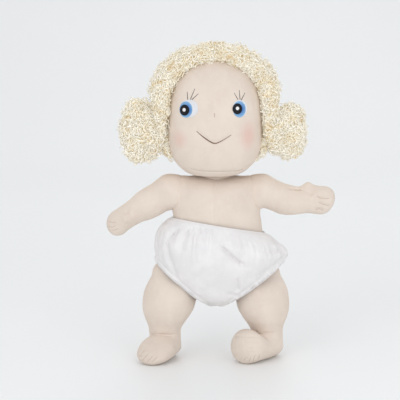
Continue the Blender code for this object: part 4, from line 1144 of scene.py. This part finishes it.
def curl_pieces(name, places, count, *rest):
    """The curls of one form in several meshes, so that none is too heavy."""
    return [curl_piece(f"{name}_{part + 1}", places[part::count], *rest) for part in range(count)]


def hair_rings():
    width, depth = HEAD_WIDTH / 2 + HAIR_SIDE, HEAD_DEPTH / 2 + HAIR_BACK
    rings = []
    for height, wide, deep in HAIR_SHARES:
        centre = (HEAD_SIDEWAYS, -HEAD_FORWARD, HEAD_BASE + (HEAD_HEIGHT + HAIR_TOP) * height)
        rings.append(level_ring(centre, width * wide, depth * deep))
    return rings


def fringe_rings():
    """The roll of curls: up one side of the face, over the forehead and down the other side."""
    rings = []
    flat = Vector((0, FRINGE_RADIUS, 0))
    drop = FRINGE_MIDDLE.z - SIDE_LOCK_LOW
    for step in range(6):
        share = step / 5
        size = 0.45 + 0.50 * share if step else 0.0
        away = (-SIDE_LOCK_SPREAD, SIDE_LOCK_BACK * (1 - share), -drop * (1 - share))
        middle = FRINGE_MIDDLE + Vector(away)
        rings.append(Ring(middle, Vector((-FRINGE_RADIUS, 0, 0)) * size, flat * size))
    for step in range(1, 18):
        turn = math.radians(-90 + 10 * step)
        out = Vector((math.sin(turn), 0, math.cos(turn)))
        middle = FRINGE_MIDDLE + Vector((out.x * FRINGE_SPREAD, 0, out.z * FRINGE_RISE))
        rings.append(Ring(middle, out * FRINGE_RADIUS, flat))
    for ring in rings[5::-1]:
        centre = Vector((2 * FRINGE_MIDDLE.x - ring.centre.x, ring.centre.y, ring.centre.z))
        rings.append(Ring(centre, -ring.across, ring.over))
    return rings


def bunch_rings(side, name):
    out = Vector((side, 0, 0))
    root = Vector((HEAD_SIDEWAYS + side * BUNCH_HALF_SPAN, 0, BUNCH_HEIGHT))
    rings = []
    for share, high, deep in BUNCH_SHARES:
        centre = root + out * BUNCH_LENGTHS[name] * share
        rings.append(Ring(centre, UP * BUNCH_HALF_HEIGHTS[name] * high, (0, BUNCH_HALF_DEPTH * deep, 0)))
    return rings


def shrunk(form, distance):
    """Move a form's surface inward, by one distance or by one for each vertex."""
    _, normals = arrays(form)
    shift(form, -normals * np.reshape(distance, (-1, 1)))
    form.normal_update()


def rim_places(count, chance):
    """Random places on the crown's front rim, between the head and the crown's outer edge."""
    heights = np.array([row[0] for row in HEAD_SHARES[:12]][::-1])
    widths = np.array([row[1] for row in HEAD_SHARES[:12]][::-1])
    outer_heights = np.array([row[0] for row in HAIR_SHARES][::-1])
    outer_widths = np.array([row[1] for row in HAIR_SHARES][::-1])
    top = HEAD_BASE + HEAD_HEIGHT + HAIR_TOP
    places = []
    while len(places) < count:
        z = chance.uniform(HAIR_HEM, top)
        x = chance.uniform(-1, 1) * (HEAD_WIDTH / 2 + HAIR_SIDE)
        inner = np.interp((z - HEAD_BASE) / HEAD_HEIGHT, heights, widths, right=0.0) * HEAD_WIDTH / 2
        outer = np.interp((z - HEAD_BASE) / (top - HEAD_BASE), outer_heights, outer_widths)
        if inner < abs(x) < outer * (HEAD_WIDTH / 2 + HAIR_SIDE) - 0.006:
            places.append((Vector((HEAD_SIDEWAYS + x, HAIR_FRONT - 0.0010, z)), FORWARD))
    return places


def make_hair():
    chance = random.Random(5)
    curls = [curl_mesh(*kind, index) for index, kind in enumerate(CURL_KINDS)]
    material = yarn("curly_yarn")
    # The curly bases carry no per-point values, so they take the deep ochre all over: painted shade under the
    # curls, with a deep painted glow.
    shaded_base_material = yarn("curly_yarn_shaded_base")

    crown = soft_form(hair_rings(), 96, 72)
    places, _ = arrays(crown)
    shrunk(crown, 0.0074 - 0.0062 * np.clip((places[:, 1] - 0.002) / 0.016, 0, 1))
    lumpy(crown, "crown")
    crown.normal_update()
    places = spread_places(
        crown, 5000, chance,
        lambda at: at.y > HAIR_FRONT - 0.001 and at.z > HAIR_HEM + (0.005 if at.y < 0.015 else 0.001),
    )
    chance.shuffle(places)
    for made in curl_pieces("crown_curls", places, 3, curls, chance, "head", material, 1.0, 0.0030):
        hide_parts("hair_crown")
    curl_piece("crown_rim_curls", rim_places(900, chance), curls, chance, "head", material, 1.0, 0.0030)
    cut(crown, Vector((0, HAIR_FRONT, 0)), FORWARD, clear_outer=True)
    cut(crown, Vector((0, 0, HAIR_HEM)), -UP, clear_outer=True)
    crown_base = piece("crown_base", crown, shaded_base_material, "head")
    wall = crown_base.modifiers.new("thickness", "SOLIDIFY")
    wall.thickness = 0.0040
    wall.offset = -1.0

    fringe = soft_form(fringe_rings(), 36, 140)
    shrunk(fringe, 0.0046)
    lumpy(fringe, "fringe")
    fringe.normal_update()
    places = spread_places(fringe, 2900, chance, lambda at: True)
    chance.shuffle(places)
    for made in curl_pieces("fringe_curls", places, 2, curls, chance, "head", material, 0.95, 0.0024):
        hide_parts("hair_fringe")
    fringe_base = piece("fringe_base", fringe, shaded_base_material, "head")

    for side, name in SIDES:
        bunch = soft_form(bunch_rings(side, name), 64, 64)
        shrunk(bunch, 0.0078)
        lumpy(bunch, "bunch", side)
        bunch.normal_update()
        places = spread_places(bunch, 2700, chance, lambda at: True)
        chance.shuffle(places)
        body = f"{name}_bunch"
        for made in curl_pieces(f"{name}_bunch_curls", places, 2, curls, chance, body, material, 1.05, 0.0034):
            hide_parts(f"{name}_hair_bunch")
        base = piece(f"{name}_bunch_base", bunch, shaded_base_material, body)


# Briefs

BRIEFS_WIDTH = 0.1340
BRIEFS_DEPTH = 0.0860
BRIEFS_TOP = 0.1460
BRIEFS_BOTTOM = 0.0535
WAIST_WIDTH = 0.0970
WAIST_DEPTH = 0.0730
WAIST_SIDEWAYS = 0.0022
WAIST_LEFT_HEIGHT = 0.1280
WAIST_RIGHT_HEIGHT = 0.1440
WAIST_FRONT_RISE = 0.0050
# rise, sideways flare and forward swell of the rings at the waist
WAIST_RISES = (
    (0.0100, 1.000, 1.000),
    (0.0, 1.000, 1.000),
    (-0.0030, 1.070, 1.026),
    (-0.0060, 1.140, 1.052),
)
WAIST_FLARE_SHIFT = 0.0125
BRIEFS_SHARES = (
    (0.800, 0.030, 0.872, 0.915, 0.95),
    (0.725, 0.038, 0.960, 0.970, 0.75),
    (0.640, 0.040, 1.000, 1.000, 0.50),
    (0.550, 0.032, 0.975, 0.990, 0.25),
    (0.455, 0.026, 0.945, 0.950, 0.10),
    (0.360, 0.022, 0.890, 0.890, 0.00),
    (0.265, 0.020, 0.785, 0.830, 0.00),
    (0.175, 0.016, 0.635, 0.750, 0.00),
    (0.095, 0.010, 0.440, 0.620, 0.00),
    (0.035, 0.004, 0.240, 0.420, 0.00),
    (0.006, 0.002, 0.110, 0.200, 0.00),
    (0.000, 0.000, 0.000, 0.000, 0.00),
)
LEG_OPENING_TOP_SHARES = {"right": 0.480, "left": 0.450}
LEG_OPENING_OUTER = {"right": -0.0605, "left": 0.0650}
LEG_OPENING_LOW_SHARES = {"right": 0.042, "left": 0.060}
LEG_OPENING_INNER = {"right": -0.0130, "left": 0.0160}
BRIEFS_MIDDLE = Vector((0.0010, 0, 0))
# near and far ends of the sideways field, top and low ends of the downward one
PANEL_FIELDS = {"right": (0.0015, 0.0145, 0.126, 0.098), "left": (0.0035, 0.0165, 0.118, 0.093)}
ELASTIC_THICKNESS = 0.0006
ELASTIC_SINK = 0.0024
ELASTIC_DROPS = (0.0015, 0.0060)
COTTON_THICKNESS = 0.0009
CASING_WIDTH = 0.0085
LEG_CASING = 0.0055
BRIEFS_FOLDS = (
    (((219.6, 246.0), (225.5, 251.0), (232.0, 257.0), (239.0, 262.6), (246.4, 267.4)), 0.0030, 0.0050),
    (((188.4, 229.6), (185.2, 236.0), (182.0, 244.0), (180.0, 254.0)), 0.0022, 0.0030),
    (((180.0, 228.6), (173.0, 236.0), (167.2, 244.0), (167.6, 254.0), (171.0, 264.0), (177.0, 278.0)),
     0.0026, 0.0032),
    (((255.0, 250.6), (265.0, 250.6), (276.0, 249.6), (287.0, 250.4)), 0.0020, 0.0034),
    (((284.0, 257.0), (274.0, 266.0), (262.0, 275.0)), 0.0018, 0.0030),
    (((228.0, 294.4), (231.8, 295.6), (235.0, 297.0)), 0.0016, 0.0028),
    (((176.0, 282.0), (184.0, 290.0), (194.0, 297.0)), 0.0010, 0.0034),
    (((252.0, 262.0), (250.0, 272.0), (245.0, 284.0)), 0.0010, 0.0036),
    (((158.6, 231.0), (156.6, 240.0), (158.6, 252.0)), 0.0008, 0.0026),
    (((199.5, 227.0), (199.8, 230.0), (199.0, 234.0)), 0.0012, 0.0012),
    (((204.8, 227.5), (205.0, 231.0), (204.6, 235.0)), 0.0011, 0.0011),
    (((210.4, 228.5), (210.8, 232.0), (211.4, 237.0)), 0.0012, 0.0012),
    (((193.0, 226.5), (192.0, 230.0), (189.6, 234.0)), 0.0011, 0.0012),
    (((228.0, 236.0), (231.0, 240.0), (235.0, 246.0)), 0.0010, 0.0022),
)
BRIEFS_CREASES = (
    (((219.6, 246.6), (225.5, 251.0), (232.0, 257.0), (239.0, 262.6), (246.4, 267.2)), 0.0034, 0.0017),
    (((188.4, 229.6), (186.8, 233.0), (185.0, 237.0)), 0.0018, 0.0014),
    (((179.6, 228.8), (173.0, 236.0), (168.4, 242.0), (167.0, 247.0)), 0.0020, 0.0014),
    (((238.0, 278.6), (238.0, 285.0), (238.6, 291.0)), 0.0020, 0.0014),
)
# pixels on the smooth bag of cloth in front, and how far and wide it swells
BRIEFS_BAG = ((197.0, 262.0), 0.0026, 0.0200)


def briefs_rings():
    height = BRIEFS_TOP - BRIEFS_BOTTOM
    slope = (WAIST_LEFT_HEIGHT - WAIST_RIGHT_HEIGHT) / WAIST_WIDTH
    middle = Vector((WAIST_SIDEWAYS, 0, (WAIST_RIGHT_HEIGHT + WAIST_LEFT_HEIGHT) / 2))
    across = Vector((WAIST_WIDTH / 2, 0, WAIST_WIDTH / 2 * slope))
    over = Vector((0, WAIST_DEPTH / 2, -WAIST_FRONT_RISE))
    rings = [Ring(middle + UP * WAIST_RISES[0][0], NO_SIZE, NO_SIZE)]
    for rise, flare, swell in WAIST_RISES:
        centre = middle + UP * rise + SIDEWAYS * (flare - 1.0) * WAIST_FLARE_SHIFT
        rings.append(Ring(centre, across * flare, over * swell))
    for share, sideways, wide, deep, tilt in BRIEFS_SHARES:
        centre = (BRIEFS_WIDTH * sideways, 0, BRIEFS_BOTTOM + height * share)
        half = BRIEFS_WIDTH / 2 * wide
        back = Vector((0, BRIEFS_DEPTH / 2 * deep, -WAIST_FRONT_RISE * tilt))
        rings.append(Ring(centre, (half, 0, half * slope * tilt), back))
    return rings


def waist_plane():
    left = Vector((WAIST_SIDEWAYS + WAIST_WIDTH / 2, 0, WAIST_LEFT_HEIGHT))
    right = Vector((WAIST_SIDEWAYS - WAIST_WIDTH / 2, 0, WAIST_RIGHT_HEIGHT))
    ahead = FORWARD * WAIST_DEPTH / 2 + UP * WAIST_FRONT_RISE
    return right, ahead.cross(left - right).normalized()


def leg_plane(side, name, drop=0):
    height = BRIEFS_TOP - BRIEFS_BOTTOM
    top = BRIEFS_BOTTOM + height * LEG_OPENING_TOP_SHARES[name]
    low = BRIEFS_BOTTOM + height * LEG_OPENING_LOW_SHARES[name]
    outer = Vector((LEG_OPENING_OUTER[name], 0, top))
    inner = Vector((LEG_OPENING_INNER[name], 0, low))
    normal = (outer - inner).cross(FORWARD).normalized() * side
    return outer - normal * drop, normal


def cut(form, place, normal, clear_outer=False, clear_inner=False):
    bmesh.ops.bisect_plane(
        form, geom=form.verts[:] + form.edges[:] + form.faces[:], dist=TOUCH,
        plane_co=place, plane_no=normal, clear_outer=clear_outer, clear_inner=clear_inner,
    )


def hump(away, middle, width):
    return np.exp(-((away - middle) / width) ** 2)


def ripple(turn, count, seed):
    """Uneven waves round an opening, about -1 to 1."""
    spots = np.stack([np.cos(turn) * count, np.sin(turn) * count], 1)
    return np.array([noise.noise(Vector((*spot, seed))) for spot in spots])


def shape_cloth(form):
    """Casings with their gathers, the folds of the photograph and soft crumples."""
    places, normals = arrays(form)
    place, normal = waist_plane()
    away = (np.array(place) - places) @ np.array(normal)
    turn = np.arctan2(places[:, 1], places[:, 0] - WAIST_SIDEWAYS)
    wave = ripple(turn, 11, 3.1) + 0.6 * ripple(turn, 25, 9.4)
    fall = np.clip((away - CASING_WIDTH) / 0.007, 0, None)
    push = -0.0012 * hump(away, 0, 0.0012)
    push += 0.0016 * wave * fall * np.exp(1 - fall) + 0.0003 * wave * hump(away, 0.004, 0.004)
    calm = np.clip(away / 0.015, 0, 1)
    high = np.clip((places[:, 2] - BRIEFS_BOTTOM - 0.003) / 0.015, 0, 1)
    for index, (side, name) in enumerate(SIDES):
        place, normal = leg_plane(side, name)
        away = (np.array(place) - places) @ np.array(normal)
        down = np.array(FORWARD.cross(normal))
        turn = np.arctan2(places[:, 1], (places - np.array(place)) @ down + 0.033)
        ruffle = ripple(turn, 14, 7.7 + index) + 0.5 * ripple(turn, 32, 2.2 + index)
        push += 0.0006 * hump(away, 0.0025, 0.0022)
        push -= (0.0006 + 0.0004 * ruffle) * hump(away, LEG_CASING, 0.0012)
        push += 0.0013 * ruffle * high * hump(away, 0.001, 0.0080) - 0.0018 * hump(away, 0, 0.0016)
    spots = [Vector(spot) for spot in places]
    soft = [noise.noise(spot / 0.020) + 0.5 * noise.noise(spot / 0.009) for spot in spots]
    push += 0.0008 * np.array(soft) * calm
    shift(form, normals * push[:, None])
    pixel, swelling, width = BRIEFS_BAG
    dent(form, seen(tree_of(form), pixel)[0], -swelling, width)
    for folds, way in ((BRIEFS_FOLDS, None), (BRIEFS_CREASES, FORWARD)):
        tree = tree_of(form)
        lines = [(line_of(tree, pixels), depth, width) for pixels, depth, width in folds]
        for line, depth, width in lines:
            groove(form, line, depth, width, 0.3, way)


def panel_fields(side, name):
    """The ends of the sideways and the downward field, as places, by which the cloth is cut into inner and outer
    panels.
    """
    near, far, top, low = PANEL_FIELDS[name]
    return SIDEWAYS * side * near, SIDEWAYS * side * far, UP * top, UP * low


def make_briefs():
    form = soft_form(briefs_rings(), 480, 260)
    shape_cloth(form)
    cut(form, *waist_plane(), clear_outer=True)
    for side, name in SIDES:
        cut(form, *leg_plane(side, name), clear_outer=True)
    material = cotton("white_cotton")
    cut(form, BRIEFS_MIDDLE, SIDEWAYS)
    for side, name in SIDES:
        near, far, top, low = panel_fields(side, name)
        half = form.copy()
        cut(half, BRIEFS_MIDDLE, SIDEWAYS, clear_outer=side == RIGHT, clear_inner=side == LEFT)
        # the plane on which the sideways and the downward field are the same
        along = far - near + low - top
        normal = Vector((side * abs(along.z), 0, abs(along.x))).normalized()
        for part, outer in (("inner", False), ("outer", True)):
            panel = half.copy()
            cut(panel, near + top, normal, clear_outer=not outer, clear_inner=outer)
            for edge in panel.edges:
                edge.smooth = not edge.is_boundary
            made = piece(f"{name}_{part}_briefs_cloth", panel, material)
            thicken(made, COTTON_THICKNESS)
            start, end = (top, low) if outer else (near, far)
            start + HOME
            end + HOME
            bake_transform(made)
            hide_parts("briefs_cloth")
        half.free()
    form.free()


def make_leg_elastics():
    material = plied("elastic_braid", srgb(236, 236, 238), srgb(206, 206, 210))
    high, low = ELASTIC_DROPS
    for side, name in SIDES:
        form = soft_form(briefs_rings(), 160, 130)
        shrunk(form, ELASTIC_SINK)
        cut(form, *leg_plane(side, name, high), clear_outer=True)
        cut(form, *leg_plane(side, name, low), clear_inner=True)
        band = piece(f"{name}_leg_braid", form, material)
        thicken(band, ELASTIC_THICKNESS)
        near, far, _, _ = panel_fields(side, name)
        near + HOME
        far + HOME
        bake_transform(band)
        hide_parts(f"{name}_leg_elastic")


# Room, light and camera

WALL_FOOT = 1.1
WALL_BEND = 0.9
WALL_HEIGHT = 2.0
# place, target, size and power of each lamp
LAMPS = {
    "window": ((-0.9, -1.4, 1.0), (0, 0, 0.17), 1.2, 5.4),
    "fill": ((0.8, -1.5, 0.35), (0, 0, 0.10), 1.0, 5.8),
    "back": ((0.2, 1.2, 1.3), (0, 0, 0.2), 1.0, 3.0),
}
ROOM_COLOUR = srgb(234, 235, 237)
ROOM_LIGHT = 0.96
SENSOR_WIDTH = 36


def make_room():
    """A pale floor that bends up softly into the wall behind."""
    finish = Finish("pale_floor", Roughness=0.42, Specular_IOR_Level=0.3)
    drift = finish.noise(3.0, detail=2.0)
    finish.colour(finish.mix(drift, srgb(242, 243, 243), srgb(245, 246, 246)))
    form = bmesh.new()
    bmesh.ops.create_grid(form, x_segments=1, y_segments=1, size=2.0)
    bmesh.ops.translate(form, verts=form.verts, vec=(0, WALL_FOOT - 2.0, -0.0002))
    rear = [edge for edge in form.edges if all(vertex.co.y > 1.0 for vertex in edge.verts)]
    pivot = (0, WALL_FOOT, WALL_BEND)
    bmesh.ops.spin(form, geom=rear, cent=pivot, axis=(1, 0, 0), angle=math.pi / 2, steps=24)
    top = [edge for edge in form.edges if all(vertex.co.z > WALL_BEND - 0.001 for vertex in edge.verts)]
    risen = bmesh.ops.extrude_edge_only(form, edges=top)["geom"]
    risen = [part for part in risen if isinstance(part, bmesh.types.BMVert)]
    bmesh.ops.translate(form, verts=risen, vec=UP * WALL_HEIGHT)
    floor = placed("floor", mesh_of("floor", form))
    floor.data.materials.append(finish.material)


def make_light(name, place, target, size, power):
    lamp = bpy.data.lights.new(name, "AREA")
    lamp.shape = "DISK"
    lamp.size = size
    lamp.energy = power
    made = placed(name, lamp)
    made.location = place
    made.rotation_euler = (Vector(target) - Vector(place)).to_track_quat("-Z", "Y").to_euler()


def make_world():
    world = bpy.data.worlds.new("soft_room")
    world.use_nodes = True
    ground = world.node_tree.nodes["Background"]
    ground.inputs["Color"].default_value = (*ROOM_COLOUR, 1.0)
    ground.inputs["Strength"].default_value = ROOM_LIGHT
    bpy.context.scene.world = world


def make_camera():
    camera = bpy.data.cameras.new("photo_camera")
    camera.sensor_width = SENSOR_WIDTH
    camera.lens = SENSOR_WIDTH * EYE_DISTANCE / (PHOTO_PIXELS * PIXEL)
    made = placed("photo_camera", camera)
    eye, way = sight((PHOTO_PIXELS / 2, PHOTO_PIXELS / 2))
    made.location = eye + HOME
    made.rotation_euler = way.to_track_quat("-Z", "Y").to_euler()
    bpy.context.scene.camera = made


def dress_nodes():
    """Looks for the solids that stay in the doll, by how their names end."""
    looks = (
        ("stuffing", wool("wool_fill")),
        ("neck_roll", plied("neck_tube", SKIN, SKIN_DEEP)),
        ("waist_elastic", plied("woven_elastic", srgb(232, 232, 234), srgb(204, 204, 208))),
        ("hair_tie", plied("white_cord", srgb(240, 238, 232), srgb(206, 200, 190))),
        ("", plied("seam_cord", srgb(205, 188, 172), srgb(172, 152, 136))),
    )
    for name, node in frame["nodes"].items():
        node.data.materials.clear()
        node.data.materials.append(next(look for ending, look in looks if name.endswith(ending)))


def main():
    dress_nodes()
    face_tree, threads = make_head()
    make_face_threads(face_tree, threads)
    make_eyes(face_tree)
    make_body()
    for side, name in SIDES:
        make_arm(side, name)
        make_leg(side, name)
    make_hair()
    make_briefs()
    make_leg_elastics()
    make_room()
    make_world()
    for name, lamp in LAMPS.items():
        make_light(name, *lamp)
    make_camera()
    bpy.context.scene.view_settings.view_transform = "Standard"


main()
